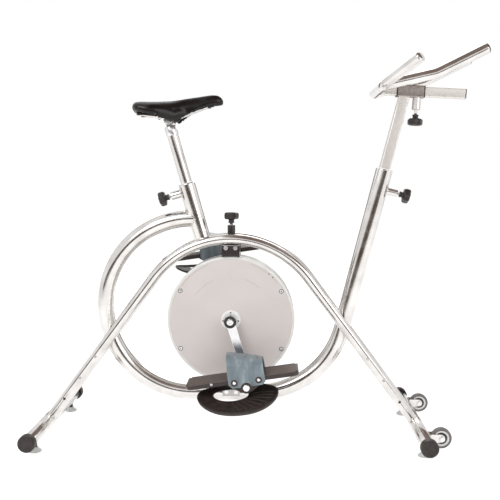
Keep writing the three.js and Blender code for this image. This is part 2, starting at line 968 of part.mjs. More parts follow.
// A square bush in the front end of the sleeve, with a thin lip outside.
function sleeveBush() {
  const half = sleeveLength / 2;
  const lipEnd = half + joinGap + sleeveBushLip;
  const fit = sleeveWidth - sleeveWall * 2 - joinGap * 2;
  const lip = squareX(sleeveWidth, stemCorner, half + joinGap, lipEnd);
  const body = squareX(fit, stemCorner - sleeveWall, half - sleeveBushDepth, lipEnd);
  const hole = squareX(slideWidth + joinGap * 2, slideWall, 0, lipEnd + overrun);
  return cut(joined(lip, body), hole);
}

// Handlebar: cross tube, side grips, horns and the bar that slides

const gripEnd = (side) => inPlane(crossX + gripAhead, crossZ + gripRise, side * gripEndY);
const hornEnd = (side) => inPlane(crossX + hornAhead, crossZ + hornRise, side * hornY);
const hornKnee = (side) => inPlane(crossX + hornBendAhead, crossZ + hornBendRise, side * hornY);
const gripCorner = (side) => inPlane(crossX, crossZ, side * crossHalf);

const headingOf = (from, to) => to.clone().sub(from).normalize();
const beyond = (from, to, extra) => to.clone().addScaledVector(headingOf(from, to), extra);

function gripRoute(extra) {
  const tip = (side) => beyond(gripCorner(side), gripEnd(side), extra);
  return routeThrough([tip(-1), gripCorner(-1), gripCorner(1), tip(1)], gripBend, fewSides / 2);
}

function hornRoute(side, extra) {
  const start = inPlane(crossX, crossZ, side * hornY);
  const tip = beyond(hornKnee(side), hornEnd(side), extra);
  return routeThrough([start, hornKnee(side), tip], hornBend, hornSteps);
}

function handlebar() {
  const routes = (extra) => [gripRoute(extra), hornRoute(-1, extra), hornRoute(1, extra)];
  const skins = routes(0).map((route) => rodOn(route, gripRadius));
  const bores = routes(overrun).map((route) => boreOn(route, gripRadius - gripWall));
  const back = crossX - slideX;
  const bar = squareX(slideWidth, slideWall, back, slideBarFront);
  const inner = slideWidth - slideWall * 2;
  const hollow = squareX(inner, slideWall / 2, back + gripRadius, slideBarFront + overrun);
  return cut(joined(outOf(slidePlace, bar), ...skins), ...bores, outOf(slidePlace, hollow));
}

// A plug in a round tube's end, along +Z from the end's face.
function endPlug() {
  const fit = gripRadius - gripWall - joinGap;
  const profile = [
    [0, -endPlugDepth],
    [fit, -endPlugDepth],
    [fit, joinGap],
    [gripRadius, joinGap],
    [gripRadius - endPlugLip, joinGap + endPlugLip],
    [0, joinGap + endPlugLip],
  ];
  return upright(lathe(profile, tubeSides));
}

function slideBarPlug() {
  const start = slideBarFront + joinGap;
  const fit = slideWidth - slideWall * 2 - joinGap * 2;
  const lip = squareX(slideWidth, slideWall, start, start + slidePlugLip);
  const body = squareX(fit, slideWall / 2, slideBarFront - endPlugDepth, start + slidePlugLip);
  return joined(lip, body);
}

// Cranks, made for the right with the arm straight down
const crankOuter = crankInner + crankThickness;
const pedalOuter = pedalInner + pedalWidth;
const spindleEnd = pedalOuter + joinGap + spindleWasher + joinGap;

function crank() {
  const dip = Math.asin((crankHubRadius - crankEndRadius) / crankLength);
  const shape = new THREE.Shape();
  shape.absarc(0, 0, crankHubRadius, -dip, Math.PI + dip, false);
  shape.absarc(0, -crankLength, crankEndRadius, Math.PI + dip, Math.PI * 2 - dip, false);
  const arm = slabY(shape, -crankOuter, -crankInner);
  const hubFace = housingHalfWidth + joinGap + flangeThickness + crankSideGap;
  const collar = roundY(crankHubRadius, -crankInner - overrun, -hubFace);
  const tip = -spindleEnd - spindleHead;
  const pin = roundY(spindleRadius, tip, -crankInner - overrun, tubeSides);
  const head = roundY(spindleHeadRadius, tip, -spindleEnd, tubeSides);
  const bore = holeY(axleRadius + joinGap, -crankOuter - overrun, 0);
  const low = (g) => g.translate(0, 0, -crankLength);
  return cut(joined(arm, collar, low(pin), low(head)), bore);
}

const crankAxle = () => roundY(axleRadius, -crankOuter - axleShown, crankOuter + axleShown);

// Pedal pieces, made for the right about the spindle

function footplate() {
  const top = plateBase + plateThickness;
  const plan = roundedOutline(-plateBack, plateFront, -pedalOuter, -pedalInner, plateCorner);
  const board = extruded(plan, plateThickness, roundSteps).translate(0, 0, plateBase);
  const half = pedalBlockLength / 2;
  const under = new THREE.Shape();
  under.moveTo(-half, plateBase + plateTread);
  under.lineTo(-half, plateBase - pedalBlockEnd);
  under.lineTo(-pedalBlockHalf, -pedalBlockDepth);
  under.lineTo(pedalBlockHalf, -pedalBlockDepth);
  under.lineTo(half, plateBase - pedalBlockEnd);
  under.lineTo(half, plateBase + plateTread);
  const body = slabY(under, -pedalOuter, -pedalInner);
  const washerEnd = -pedalOuter - spindleWasher;
  const washer = roundY(spindleWasherRadius, washerEnd, -pedalOuter + overrun);
  const bore = holeY(spindleRadius + joinGap, washerEnd - overrun, 0);
  const tread = block(
    -plateBack + plateRim,
    plateFront - plateRim,
    -pedalOuter + plateRim,
    -pedalInner - plateRim,
    top - plateTread,
    top + overrun
  );
  return cut(joined(board, body, washer, dishFoot()), bore, tread);
}

// The dish's own place under the pedal, sagging to the outside.
function dishMatrix() {
  const sag = new THREE.Euler(radians(dishSag), radians(dishTurn), 0);
  const at = new THREE.Vector3(dishX, -pedalInner - dishHalfWidth, -dishDrop);
  return new THREE.Matrix4().makeRotationFromEuler(sag).setPosition(at);
}

// The foot of the pedal block that the dish is fixed to.
function dishFoot() {
  const base = dishThickness + joinGap;
  const inner = dishHalfWidth - dishFootEdge;
  const left = -dishX - dishFootHalf;
  const foot = block(left, left + dishFootHalf * 2, inner - dishFootWidth, inner, base, dishDrop);
  const half = pedalBlockHalf;
  const below = block(-half, half, -pedalOuter, -pedalInner, -dishDrop, 0);
  return shared(foot.applyMatrix4(dishMatrix()), below);
}

function ovalSlab(halfLength, halfWidth, from, to, x = 0, y = 0) {
  const shape = new THREE.Shape();
  shape.absellipse(x, y, halfLength, halfWidth, 0, radians(360), false, 0);
  return extruded(shape, to - from, tubeSides).translate(0, 0, from);
}

// Ribs that fan out from under the spindle, on top of the dish.
function dishRibsOn() {
  const top = dishThickness + dishRibHeight;
  const half = dishRibWidth / 2;
  const fromY = dishHalfWidth - dishFootEdge - dishFootWidth / 2;
  const room = ovalSlab(dishHalfLength - dishLip, dishHalfWidth - dishLip, 0, top);
  return Array.from({ length: dishRibs }, (_, i) => {
    const angle = radians(dishRibStart + (i * dishRibSweep) / (dishRibs - 1));
    const rib = block(dishRibInner, dishRibInner + dishRibLength, -half, half, 0, top);
    return shared(rib.rotateZ(angle).translate(-dishX, fromY, 0), room);
  });
}

function rubberDish() {
  const long = dishHalfLength;
  const wide = dishHalfWidth;
  const skirt = cut(
    ovalSlab(long, wide, -dishLipDrop, dishThickness / 2),
    ovalSlab(long - dishLip, wide - dishLip, -dishLipDrop - overrun, dishThickness)
  );
  const hole = ovalSlab(
    dishHoleHalfLength,
    dishHoleHalfWidth,
    -overrun,
    dishThickness + dishRibHeight + overrun,
    dishHoleX,
    dishHoleY
  );
  const plate = ovalSlab(long, wide, 0, dishThickness);
  return cut(joined(plate, skirt, ...dishRibsOn()), hole).applyMatrix4(dishMatrix());
}

// The strap's section in Y and Z, an arch over the foot.
function strapOutline(inset, foot) {
  const inner = -pedalInner + joinGap + strapThickness - inset;
  const outer = -pedalOuter - joinGap - strapThickness + inset;
  const top = plateBase + plateThickness + strapRise - inset;
  const corner = strapCorner - inset;
  const shape = new THREE.Shape();
  shape.moveTo(outer, foot);
  shape.lineTo(inner, foot);
  shape.lineTo(inner, top - corner);
  shape.absarc(inner - corner, top - corner, corner, 0, radians(90));
  shape.lineTo(outer + corner, top);
  shape.absarc(outer + corner, top - corner, corner, radians(90), radians(180));
  return shape;
}

// The strap's section run along X, as far each way.
const strapBand = (inset, foot, long) =>
  extruded(strapOutline(inset, foot), long * 2, roundSteps)
    .translate(0, 0, -long)
    .rotateX(radians(90))
    .rotateZ(radians(90));

// Washers and bolt heads on the strap's outer side.
function strapBolts() {
  const face = -pedalOuter - joinGap - strapThickness;
  const root = face + strapThickness / 2;
  const at = (g, x) => g.translate(x, 0, strapBoltHeight);
  return [-strapBoltSpan / 2, strapBoltSpan / 2].flatMap((x) => [
    at(roundY(strapWasherRadius, face - strapWasher, root, tubeSides), x),
    at(roundY(strapBoltHead, face - strapBoltRise, root, fewSides), x),
  ]);
}

function footStrap() {
  const half = strapLength / 2;
  const across = pedalOuter + strapThickness + overrun;
  const hems = [-half, half].map((x) => {
    const wedge = block(-strapHem, strapHem, -across, 0, -strapHem, strapHem);
    return wedge.rotateY(radians(45)).translate(x, 0, strapFoot);
  });
  const inside = strapBand(strapThickness, strapFoot - overrun, half + overrun);
  const bare = cut(strapBand(0, strapFoot, half), inside, ...hems);
  const whole = joined(bare, ...strapBolts()).rotateY(radians(strapTurn));
  const notch = holeY(spindleWasherRadius + strapNotchGap, -across - overrun, 0);
  return cut(whole, notch);
}

// Saddle. A share runs from 0 at the back to 1 at the nose.

const eased = (from, to, share) => from + (to - from) * THREE.MathUtils.smoothstep(share, 0, 1);

const saddleHalf = (share) => eased(saddleHalfWidth, saddleNoseHalf, share / saddleWaistShare);
const saddleTop = (share) => eased(saddleTopBack, saddleTopNose, share);

// How far the skirt hangs below the top: deepest over the seat post.
function saddleDrop(share) {
  const away = share - saddleDeepestShare;
  const room = away < 0 ? saddleDeepestShare : 1 - saddleDeepestShare;
  return eased(saddleDepth, saddleEndDepth, Math.abs(away) / room);
}

// The saddle's outside form, drawn in by an inset, lowered by a cover's
// thickness and lengthened below.
function saddleForm(inset, cover, below) {
  const ball = new THREE.SphereGeometry(1, saddleSides, saddleRings).rotateZ(radians(-90));
  const places = ball.attributes.position;
  const halfLength = (saddleNose - saddleBack) / 2 - inset;
  const middleX = (saddleNose + saddleBack) / 2;
  for (let i = 0; i < places.count; i += 1) {
    const round = Math.hypot(places.getY(i), places.getZ(i));
    const side = round > 0 ? places.getY(i) / round : 0;
    const up = round > 0 ? places.getZ(i) / round : 0;
    const x = middleX + halfLength * places.getX(i);
    const share = (x - saddleBack) / (saddleNose - saddleBack);
    const top = saddleTop(share);
    const low = top - saddleDrop(share);
    const belly = low + (top - low) * saddleBellyShare;
    const fullness = up > 0 ? saddleFullnessShare : saddleHemShare;
    const y = (saddleHalf(share) - inset) * Math.sign(side) * Math.abs(side) ** fullness;
    const steep = Math.max(up * saddleSteepShare, -1);
    const crown = (top - cover - belly) * Math.max(up, 0) ** saddleFullnessShare;
    const rise = up > 0 ? crown : (belly - low + below) * steep;
    const fill = Math.sqrt(round);
    places.setXYZ(i, x, y * fill, belly + rise * fill);
  }
  return ball;
}

const saddlePad = () =>
  cut(saddleForm(0, 0, 0), saddleForm(saddleRim, saddleCover, saddleOpen));

// The rails: one unbroken wire, joined at the nose.
function railRoute(extra) {
  const back = (side) => inPlane(railBackX, railBackRise, side * railBackHalfSpan);
  const flatBack = (side) => inPlane(-railFlatHalf, railRise, side * railHalfSpan);
  const flatFront = (side) => inPlane(railFlatHalf, railRise, side * railHalfSpan);
  const nose = (side) => inPlane(railNoseX, railNoseRise, side * railNoseHalfSpan);
  const tip = (side) => beyond(flatBack(side), back(side), extra);
  const points = [
    tip(-1), flatBack(-1), flatFront(-1), nose(-1), nose(1), flatFront(1), flatBack(1), tip(1),
  ];
  return routeThrough(points, railBend, railSteps);
}

// The tray under the pad, with sockets that hold the rails' ends.
function saddleBase() {
  const fit = saddleRim + joinGap;
  const under = saddleCover + joinGap;
  const outer = saddleForm(fit, under, 0);
  const inner = saddleForm(fit + saddleTray, under + saddleTray, saddleOpen);
  const inside = saddleForm(fit + saddleTray / 2, under + saddleTray / 2, saddleOpen);
  const socket = (x, y, z) => {
    const half = socketHalf;
    const post = block(x - half, x + half, y - half, y + half, z - socketDrop, saddleTopNose);
    return shared(post, inside);
  };
  const sockets = [
    socket(railBackX, -railBackHalfSpan, railBackRise),
    socket(railBackX, railBackHalfSpan, railBackRise),
    socket(railNoseX, 0, railNoseRise),
  ];
  const room = boreOn(railRoute(overrun / 2), railRadius + joinGap, fewSides);
  return cut(joined(cut(outer, inner), ...sockets), room);
}

// The head on the seat post, about the clamp's pivot.
function saddleHead() {
  const under = -pivotRise;
  const foot = under - headCollar;
  const half = headEarHalf;
  const collar = roundZ(headRadius, foot, under + headCap);
  const hole = holeZ(seatPostRadius + joinGap, foot - overrun, under + joinGap);
  const ear = block(-headEarRadius, headEarRadius, -half, half, under + joinGap, 0);
  const round = roundY(headEarRadius, -half, half);
  const bolt = holeY(clampBolt + joinGap, -half - overrun, half + overrun);
  return cut(joined(collar, ear, round), hole, bolt);
}

// The clamp that grips the rails and turns on the head's bolt.
function saddleClamp() {
  const half = clampHalfLength;
  const inner = headEarHalf + slideGap;
  const outer = railHalfSpan + railRadius + clampGripSide;
  const under = railRise + railRadius;
  const top = under + clampPlate;
  const cheek = inner + clampCheek;
  const grip = railRise - clampGrip;
  const reach = cheek + clampBolt;
  const whole = joined(
    block(-half, half, -outer, outer, under, top),
    block(-half, half, inner, cheek, -clampFoot, top),
    block(-half, half, -cheek, -inner, -clampFoot, top),
    block(-half, half, inner, outer, grip, top),
    block(-half, half, -outer, -inner, grip, top),
    roundY(clampBolt, -reach, reach, tubeSides)
  );
  return cut(whole, boreOn(railRoute(0), railRadius + joinGap, fewSides));
}

// Everything in its place

add(bike, "main_tube", mainTube(), "steel");
add(seatPlace, "seat_tube", seatTube(), "steel");
add(seatPlace, "seat_post_bushing", seatBush(), "black");
add(frontPlace, "stem_bushing", stemBush(), "white");
add(bike, "top_bracket", topBracket(), "black");
add(bike, "bottom_bracket", bottomBracket(), "black");

for (const [word, side] of sides) {
  add(bike, `leg_arch_${word}`, legArch(side), "steel");
}

for (const [end, fore] of ends) {
  const bar = placeIn(bike, fore * barX, barHeight);
  const tube = pipeY(barRadius, barRadius - tubeWall, -barHalfLength, barHalfLength);
  add(bar, `base_bar_${end}`, tube, "steel");
  for (const [word, side] of sides) {
    add(bar, `end_cap_${end}_${word}`, side > 0 ? endCap() : mirrorY(endCap()), "rubber");
    const foot = add(bike, `suction_foot_${end}_${word}`, suctionFoot(), "clear");
    foot.position.set(fore * barX, side * (barHalfLength - footInset), 0);
  }
}

for (const [word, side] of sides) {
  const at = placeIn(bike, barX + wheelReach, barHeight, 0, side * (barHalfLength - wheelInset));
  add(at, `wheel_bracket_${word}`, wheelFork(), "zinc");
  add(at, `transport_wheel_${word}`, transportWheel(), "tyre");
}

add(hubPlace, "brake_rotor", rotor(), "zinc");
add(hubPlace, "crank_axle", crankAxle(), "alloy");
add(hubPlace, "brake_shoe", brakeShoe(), "black");
add(hubPlace, "brake_screw", brakeScrew(), "alloy");
const brakeKnob = placeIn(bike, 0, brakeSleeveTop + studShown, -90);
add(brakeKnob, "brake_knob", knob(), "black");

for (const [word, side] of sides) {
  const madeRight = (g) => (side > 0 ? mirrorY(g) : g);
  const madeLeft = (g) => (side > 0 ? g : mirrorY(g));
  add(hubPlace, `housing_${word}`, madeLeft(housingHalf()), "housing");
  add(hubPlace, `bearing_${word}`, madeLeft(bearing()), "white");
  const turn = side > 0 ? 180 - crankAngle : -crankAngle;
  const arm = placeIn(hubPlace, 0, 0, turn);
  add(arm, `crank_${word}`, madeRight(crank()), "alloy");
  const pedal = placeIn(arm, 0, -crankLength, -turn - pedalTilt);
  add(pedal, `footplate_${word}`, madeRight(footplate()), "board");
  add(pedal, `foot_strap_${word}`, madeRight(footStrap()), "strap");
  add(pedal, `pedal_dish_${word}`, madeRight(rubberDish()), "rubber");
}

const pivot = placeIn(seatPlace, 0, seatPostShown + pivotRise);
add(seatPlace, "seat_post", seatPost(), "steel");
add(pivot, "saddle_head", saddleHead(), "black");
const saddle = placeIn(pivot, 0, 0, seatLean);
add(saddle, "saddle_clamp", saddleClamp(), "zinc");
add(saddle, "saddle_rails", rodOn(railRoute(0), railRadius, fewSides), "steel");
add(saddle, "saddle_base", saddleBase(), "black");
add(saddle, "saddle_pad", saddlePad(), "vinyl");

// A stud and its knob, pointing back, forward or down.
function addKnob(parent, name, from, reach, turned) {
  add(parent, `${name}_knob_stud`, turned(stud(from, reach)), "alloy");
  add(parent, `${name}_knob`, turned(knob().translate(reach, 0, 0)), "black");
}

const tubeReach = mainRadius + bossLength + studShown;
const slideReach = sleeveWidth / 2 + slideBossLength + slideStudShown;
addKnob(seatPlace, "seat", seatPostRadius, tubeReach, atSeatKnob);
addKnob(frontPlace, "stem", stemWidth / 2, tubeReach, (g) => g.translate(0, 0, -stemKnobDrop));
addKnob(slidePlace, "slide", slideWidth / 2, slideReach, atSlideKnob);

add(slidePlace, "handlebar_stem", handlebarStem(), "brushed");
add(slidePlace, "sleeve_bushing_front", sleeveBush(), "black");
add(slidePlace, "sleeve_bushing_rear", sleeveBush().rotateZ(radians(180)), "black");
add(bike, "handlebar", handlebar(), "steel");
add(slidePlace, "slide_bar_plug", slideBarPlug(), "black");

for (const [word, side] of sides) {
  const tips = [
    ["grip_plug", gripCorner(side), gripEnd(side), "white"],
    ["horn_plug", hornKnee(side), hornEnd(side), "black"],
  ];
  for (const [name, from, tip, look] of tips) {
    const plug = add(bike, `${name}_${word}`, endPlug(), look);
    plug.position.copy(tip);
    plug.quaternion.setFromUnitVectors(inPlane(0, 1), headingOf(from, tip));
  }
}

// The origin is on the floor under the middle of the whole.
const whole = new THREE.Group();
whole.add(bike);
const bounds = new THREE.Box3().setFromObject(whole, true);
const middle = bounds.getCenter(new THREE.Vector3());
bike.position.set(-middle.x, -middle.y, -bounds.min.z);

export default whole;
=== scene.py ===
import math

import bmesh
import bpy
from mathutils import Matrix, Vector


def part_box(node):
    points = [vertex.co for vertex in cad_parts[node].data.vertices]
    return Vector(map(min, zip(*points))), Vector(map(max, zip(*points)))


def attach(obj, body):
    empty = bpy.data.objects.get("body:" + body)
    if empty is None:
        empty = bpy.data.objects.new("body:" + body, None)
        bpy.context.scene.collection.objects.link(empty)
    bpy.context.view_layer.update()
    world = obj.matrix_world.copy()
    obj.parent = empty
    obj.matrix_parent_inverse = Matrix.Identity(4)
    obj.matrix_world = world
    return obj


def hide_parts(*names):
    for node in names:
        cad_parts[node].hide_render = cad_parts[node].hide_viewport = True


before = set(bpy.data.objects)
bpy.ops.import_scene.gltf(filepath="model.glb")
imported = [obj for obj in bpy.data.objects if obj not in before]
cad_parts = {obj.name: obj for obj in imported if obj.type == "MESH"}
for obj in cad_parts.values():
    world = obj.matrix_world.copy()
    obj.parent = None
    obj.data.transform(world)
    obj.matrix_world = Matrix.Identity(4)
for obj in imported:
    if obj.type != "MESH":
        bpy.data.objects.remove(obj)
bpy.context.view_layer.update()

# Lengths are in millimetres and angles in degrees. The rider faces +X, and +Y
# is the rider's left. Each piece is brought to metres as it is finished.

ring_inset = 3
main_radius = 24.15
bend_radius = 261
loop_centre = Vector((-115.5, 0, 383))
front_bend = Vector((75, 0, 383))
front_lean = 14.1
front_post_top = 787
seat_lean = 15.76
seat_tube_top = Vector((-131, 0, 746))
seat_tube_length = 188
seat_post_radius = 16
seat_post_shown = 172
arch_radius = 282
arch_top = 586
arch_tube_radius = 15
leg_lean = 36.55
leg_rivets = (241, 161.5)
leg_hole = 82.5
bar_height = 45
bar_radius = 19
bar_half = 255
foot_inset = 70
wheel_reach = 48
wheel_inset = 90
hub = Vector((0, 0, 348.5))
housing_radius = 187.4
housing_face = 39.6
bolt_circle = 171
bolt_angle = 30
bracket_half = 46
bracket_length = 52
brake_sleeve_top = 625
cheek_middle = 27.4
cheek_half = 3
top_bolt_height = 560.5
low_bolt_height = 130
shoe_top = 176.3
crank_length = 170
crank_middle = 67.5
crank_thickness = 15
eye_half = 7.3
crank_angle = 17.56
pedal_tilt = 8.5
pedal_inner = 88
pedal_width = 95
plate_front = 149
plate_back = 167
plate_base = 17
plate_thickness = 10
tread_pitch = 5.2
dish_half = 114
knob_radius = 22
knob_lobes = 7
scoop_depth = 2.6
knob_gap = 6
stud_end = 10.7
boss_radius = 12
boss_length = 30
seat_knob_drop = 23
stem_knob_drop = 58
slide_knob_ahead = 20
slide_boss_length = 34
slide_knob_gap = 14
stem_width = 30
slide_middle = Vector((516, 0, 1010.5))
slide_slope = 3.1
sleeve_length = 74
sleeve_width = 34
square_corner = 3.2
slide_width = 27
slide_bar_front = 155
grip_radius = 14
cross_x = 425
cross_z = 1016
cross_half = 115
grip_end = Vector((506, 200, 1077))
horn_y = 100
horn_knee = Vector((570, 100, 1048))
horn_end = Vector((706, 100, 1115))
pivot_height = 16
saddle_middle = 28.5
saddle_length = 267

sides = (("right", -1), ("left", 1))
ends = (("rear", -1), ("front", 1))

arch_centre = Vector((0, 0, arch_top - arch_radius))
arch_y = main_radius + 0.3 + arch_tube_radius
leg_turn = math.radians(leg_lean)
leg_start = arch_centre + arch_radius * Vector((math.cos(leg_turn), 0, math.sin(leg_turn)))
leg_slope = math.tan(leg_turn)
bar_x = leg_start.x + (leg_start.z - bar_height) * leg_slope

front_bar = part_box("base_bar_front")
shift = bar_x - (front_bar[0].x + front_bar[1].x) * 500
to_frame = Matrix.Scale(0.001, 4) @ Matrix.Translation((-shift, 0, 0))


def turn(axis, angle):
    return Matrix.Rotation(math.radians(angle), 4, axis)


def move(x, y=0, z=0):
    return Matrix.Translation((x, y, z))


def place(at, angle=0):
    return Matrix.Translation(at) @ turn("Y", angle)


def facing(at, heading):
    """A place whose Z points along a heading."""
    return Matrix.Translation(at) @ heading.to_track_quat("Z", "Y").to_matrix().to_4x4()


def towards(axis):
    """Turns what points up +Z to point along another axis."""
    return {"Z": Matrix(), "Y": turn("X", -90), "-Y": turn("X", 90), "X": turn("Y", 90)}[axis]


def out_of(side):
    """The axis that points out of the bike on a side."""
    return "Y" if side > 0 else "-Y"


def beside(x, y, z, side):
    """A place whose Z points out of the bike on a side."""
    return move(x, y, z) @ towards(out_of(side))


front_turn = math.radians(front_lean)
front_up = Vector((math.sin(front_turn), 0, math.cos(front_turn)))
front_start = front_bend + bend_radius * Vector((front_up.z, 0, -front_up.x))
front_top = front_start + front_up * (front_post_top - front_start.z) / front_up.z
front_place = place(front_top, front_lean)
seat_place = place(seat_tube_top, -seat_lean)
slide_place = place(slide_middle, slide_slope)
hub_place = place(hub)
pivot_place = seat_place @ move(0, 0, seat_post_shown + pivot_height)
saddle_place = pivot_place @ turn("Y", seat_lean)


# Camera and lamps

camera = bpy.data.objects.new("camera", bpy.data.cameras.new("camera"))
bpy.context.scene.collection.objects.link(camera)
camera.data.lens = 53.86
camera.data.sensor_width = 36
camera.location = to_frame @ Vector((131.4, -2200, 761.2))
camera.rotation_mode = "QUATERNION"
camera.rotation_quaternion = Vector((-0.034581, 0.994867, -0.095098)).to_track_quat("-Z", "Y")
bpy.context.scene.camera = camera
bpy.context.scene.view_settings.view_transform = "Standard"


def lamp(name, at, power, size):
    """A soft square lamp, in metres, that points at the middle of the bike."""
    data = bpy.data.lights.new(name, "AREA")
    data.energy = power
    data.size = size
    light = bpy.data.objects.new(name, data)
    light.location = at
    light.rotation_mode = "QUATERNION"
    light.rotation_quaternion = (Vector((0, 0, 0.5)) - Vector(at)).to_track_quat("-Z", "Y")
    bpy.context.scene.collection.objects.link(light)


lamp("key_light", (-1.6, -2.4, 2.6), 38, 1.6)
lamp("fill_light", (2.4, -2.0, 1.8), 18, 1.8)
lamp("back_light", (0.5, 2.6, 2.4), 22, 1.8)


# Materials


class Socket:
    """A shader value that takes part in Python sums."""

    def __init__(self, tree, link):
        self.tree = tree
        self.link = link

    def mixed(self, operation, *values):
        return self.tree.node("ShaderNodeMath", {"operation": operation}, dict(enumerate(values))).out(0)

    def __add__(self, other):
        return self.mixed("ADD", self, other)

    def __mul__(self, other):
        return self.mixed("MULTIPLY", self, other)

    def __sub__(self, other):
        return self.mixed("SUBTRACT", self, other)

    def __rsub__(self, other):
        return self.mixed("SUBTRACT", other, self)

    __radd__ = __add__
    __rmul__ = __mul__


class Node:
    def __init__(self, tree, node):
        self.tree = tree
        self.node = node

    def out(self, key):
        return Socket(self.tree, self.node.outputs[key])


class Tree:
    """A node tree whose nodes are made one call at a time."""

    def __init__(self, tree):
        self.nodes = tree.nodes
        self.links = tree.links

    def node(self, kind, settings, inputs):
        made = self.nodes.new(kind)
        for key, value in settings.items():
            if key == "stops":
                ramp = made.color_ramp.elements
                while len(ramp) < len(value):
                    ramp.new(0.5)
                for stop, (at, colour) in zip(ramp, value):
                    stop.position = at
                    stop.color = (*colour, 1)
            else:
                setattr(made, key, value)
        for key, value in inputs.items():
            self.feed(made.inputs[key], value)
        return Node(self, made)

    def feed(self, socket, value):
        if isinstance(value, Socket):
            self.links.new(value.link, socket)
        else:
            socket.default_value = value

    def shown(self):
        """1 for rays from the camera, off a gloss or through a clear thing."""
        path = self.node("ShaderNodeLightPath", {}, {})
        rays = path.out("Is Camera Ray") + path.out("Is Glossy Ray") + path.out("Is Transmission Ray")
        return rays.mixed("MINIMUM", rays, 1)


class Finish(Tree):
    """A material on the Principled shader. Its scales are in metres."""

    def __init__(self, name):
        self.material = bpy.data.materials.new(name)
        self.material.use_nodes = True
        super().__init__(self.material.node_tree)
        self.shader = self.nodes["Principled BSDF"]

    def set(self, key, value):
        self.feed(self.shader.inputs[key], value)

    def coordinates(self, scale=(1, 1, 1)):
        where = self.node("ShaderNodeTexCoord", {}, {}).out("Object")
        return self.node("ShaderNodeMapping", {}, {"Vector": where, "Scale": scale}).out(0)

    def noise(self, size, detail=3, rough=0.5, stretch=(1, 1, 1)):
        inputs = {"Vector": self.coordinates(stretch), "Scale": 1 / size}
        inputs |= {"Detail": detail, "Roughness": rough}
        return self.node("ShaderNodeTexNoise", {}, inputs).out(0)

    def cells(self, size):
        inputs = {"Vector": self.coordinates(), "Scale": 1 / size}
        return self.node("ShaderNodeTexVoronoi", {}, inputs).out("Distance")

    def tint(self, value, *stops):
        """The colour, by stops that each give a value and the colour there."""
        ramp = {"stops": [(at, linear(colour)) for at, colour in stops]}
        self.set("Base Color", self.node("ShaderNodeValToRGB", ramp, {0: value}).out(0))

    def grey(self, value, low, high, start=0.3, end=0.7):
        """The value carried from its range start to end into low to high."""
        inputs = {0: value, 1: start, 2: end, 3: low, 4: high}
        return self.node("ShaderNodeMapRange", {"clamp": True}, inputs).out(0)

    def bump(self, height, strength, distance):
        inputs = {"Height": height, "Strength": strength, "Distance": distance}
        self.set("Normal", self.node("ShaderNodeBump", {}, inputs).out(0))

    def outer_edge_mask(self):
        """Near 1 on sharp outer edges and 0 elsewhere."""
        pointed = self.node("ShaderNodeNewGeometry", {}, {}).out("Pointiness")
        return self.grey(pointed + self.noise(0.004) * 0.02, 0, 1, 0.53, 0.58)


def linear(colour):
    """A screen colour of 0 to 255 as the shader's colour."""
    values = [part / 255 for part in colour]
    return [value / 12.92 if value < 0.04045 else ((value + 0.055) / 1.055) ** 2.4 for value in values]


def polished_steel():
    steel = Finish("polished_steel")
    smudges = steel.noise(0.05, 4)
    steel.tint(smudges, (0.3, (206, 202, 199)), (0.7, (230, 227, 224)))
    steel.set("Metallic", 1.0)
    scratches = steel.noise(0.0012, 2, 0.5, (1, 1, 0.12))
    steel.set("Roughness", steel.grey(smudges, 0.09, 0.17) + scratches * 0.04)
    steel.bump(scratches, 0.03, 0.0002)
    return steel.material


def drawn_steel(name, grain, stretch, dark, light, metallic, rough, depth):
    """Steel with fine lines along its length, from brushed to satin."""
    steel = Finish(name)
    lines = steel.noise(grain, 3, 0.6, (1, 1, stretch))
    steel.tint(lines, (0.3, dark), (0.7, light))
    steel.set("Metallic", metallic)
    steel.set("Roughness", steel.grey(lines, *rough))
    steel.bump(lines, depth, 0.0002)
    return steel.material


def polished_alloy():
    alloy = Finish("polished_alloy")
    clouds = alloy.noise(0.03, 3)
    alloy.tint(clouds, (0.3, (214, 213, 214)), (0.7, (236, 235, 236)))
    alloy.set("Metallic", 1.0)
    lines = alloy.noise(0.0009, 2, 0.5, (0.1, 1, 1))
    alloy.set("Roughness", alloy.grey(clouds, 0.14, 0.24) + lines * 0.05)
    alloy.bump(lines, 0.05, 0.0002)
    return alloy.material


def zinc_plate():
    zinc = Finish("zinc_plate")
    spangle = zinc.cells(0.004)
    zinc.tint(spangle, (0.1, (168, 163, 160)), (0.8, (205, 201, 198)))
    zinc.set("Metallic", 0.9)
    zinc.set("Roughness", zinc.grey(spangle, 0.3, 0.46, 0.1, 0.8))
    zinc.bump(zinc.noise(0.001), 0.05, 0.0003)
    return zinc.material


def moulded(name, dark, light, rough):
    """Hard plastic, lighter and smoother on its sharp outer edges."""
    plastic = Finish(name)
    patches = plastic.noise(0.02, 3)
    edges = plastic.outer_edge_mask()
    plastic.tint(patches + edges * 0.25, (0.35, dark), (0.75, light))
    plastic.set("Roughness", plastic.grey(patches, rough - 0.05, rough + 0.06) - edges * 0.08)
    plastic.bump(plastic.noise(0.0009, 2), 0.15, 0.0003)
    return plastic.material


def saddle_vinyl():
    vinyl = Finish("saddle_vinyl")
    folds = vinyl.noise(0.03, 3)
    vinyl.tint(folds, (0.3, (14, 9, 8)), (0.75, (28, 20, 18)))
    pores = vinyl.cells(0.0016)
    vinyl.set("Roughness", vinyl.grey(folds, 0.2, 0.3) + pores * 0.05)
    vinyl.set("Specular IOR Level", 0.25)
    vinyl.set("Coat Weight", 0.15)
    vinyl.set("Coat Roughness", 0.1)
    vinyl.bump(pores, 0.18, 0.0004)
    return vinyl.material


def housing_plastic():
    plastic = Finish("housing_plastic")
    flow = plastic.noise(0.09, 4)
    specks = plastic.noise(0.0016, 2)
    plastic.tint(flow * 0.75 + specks * 0.25, (0.32, (218, 209, 205)), (0.68, (224, 216, 212)))
    plastic.set("Roughness", plastic.grey(specks, 0.42, 0.56))
    plastic.bump(specks, 0.12, 0.0002)
    return plastic.material


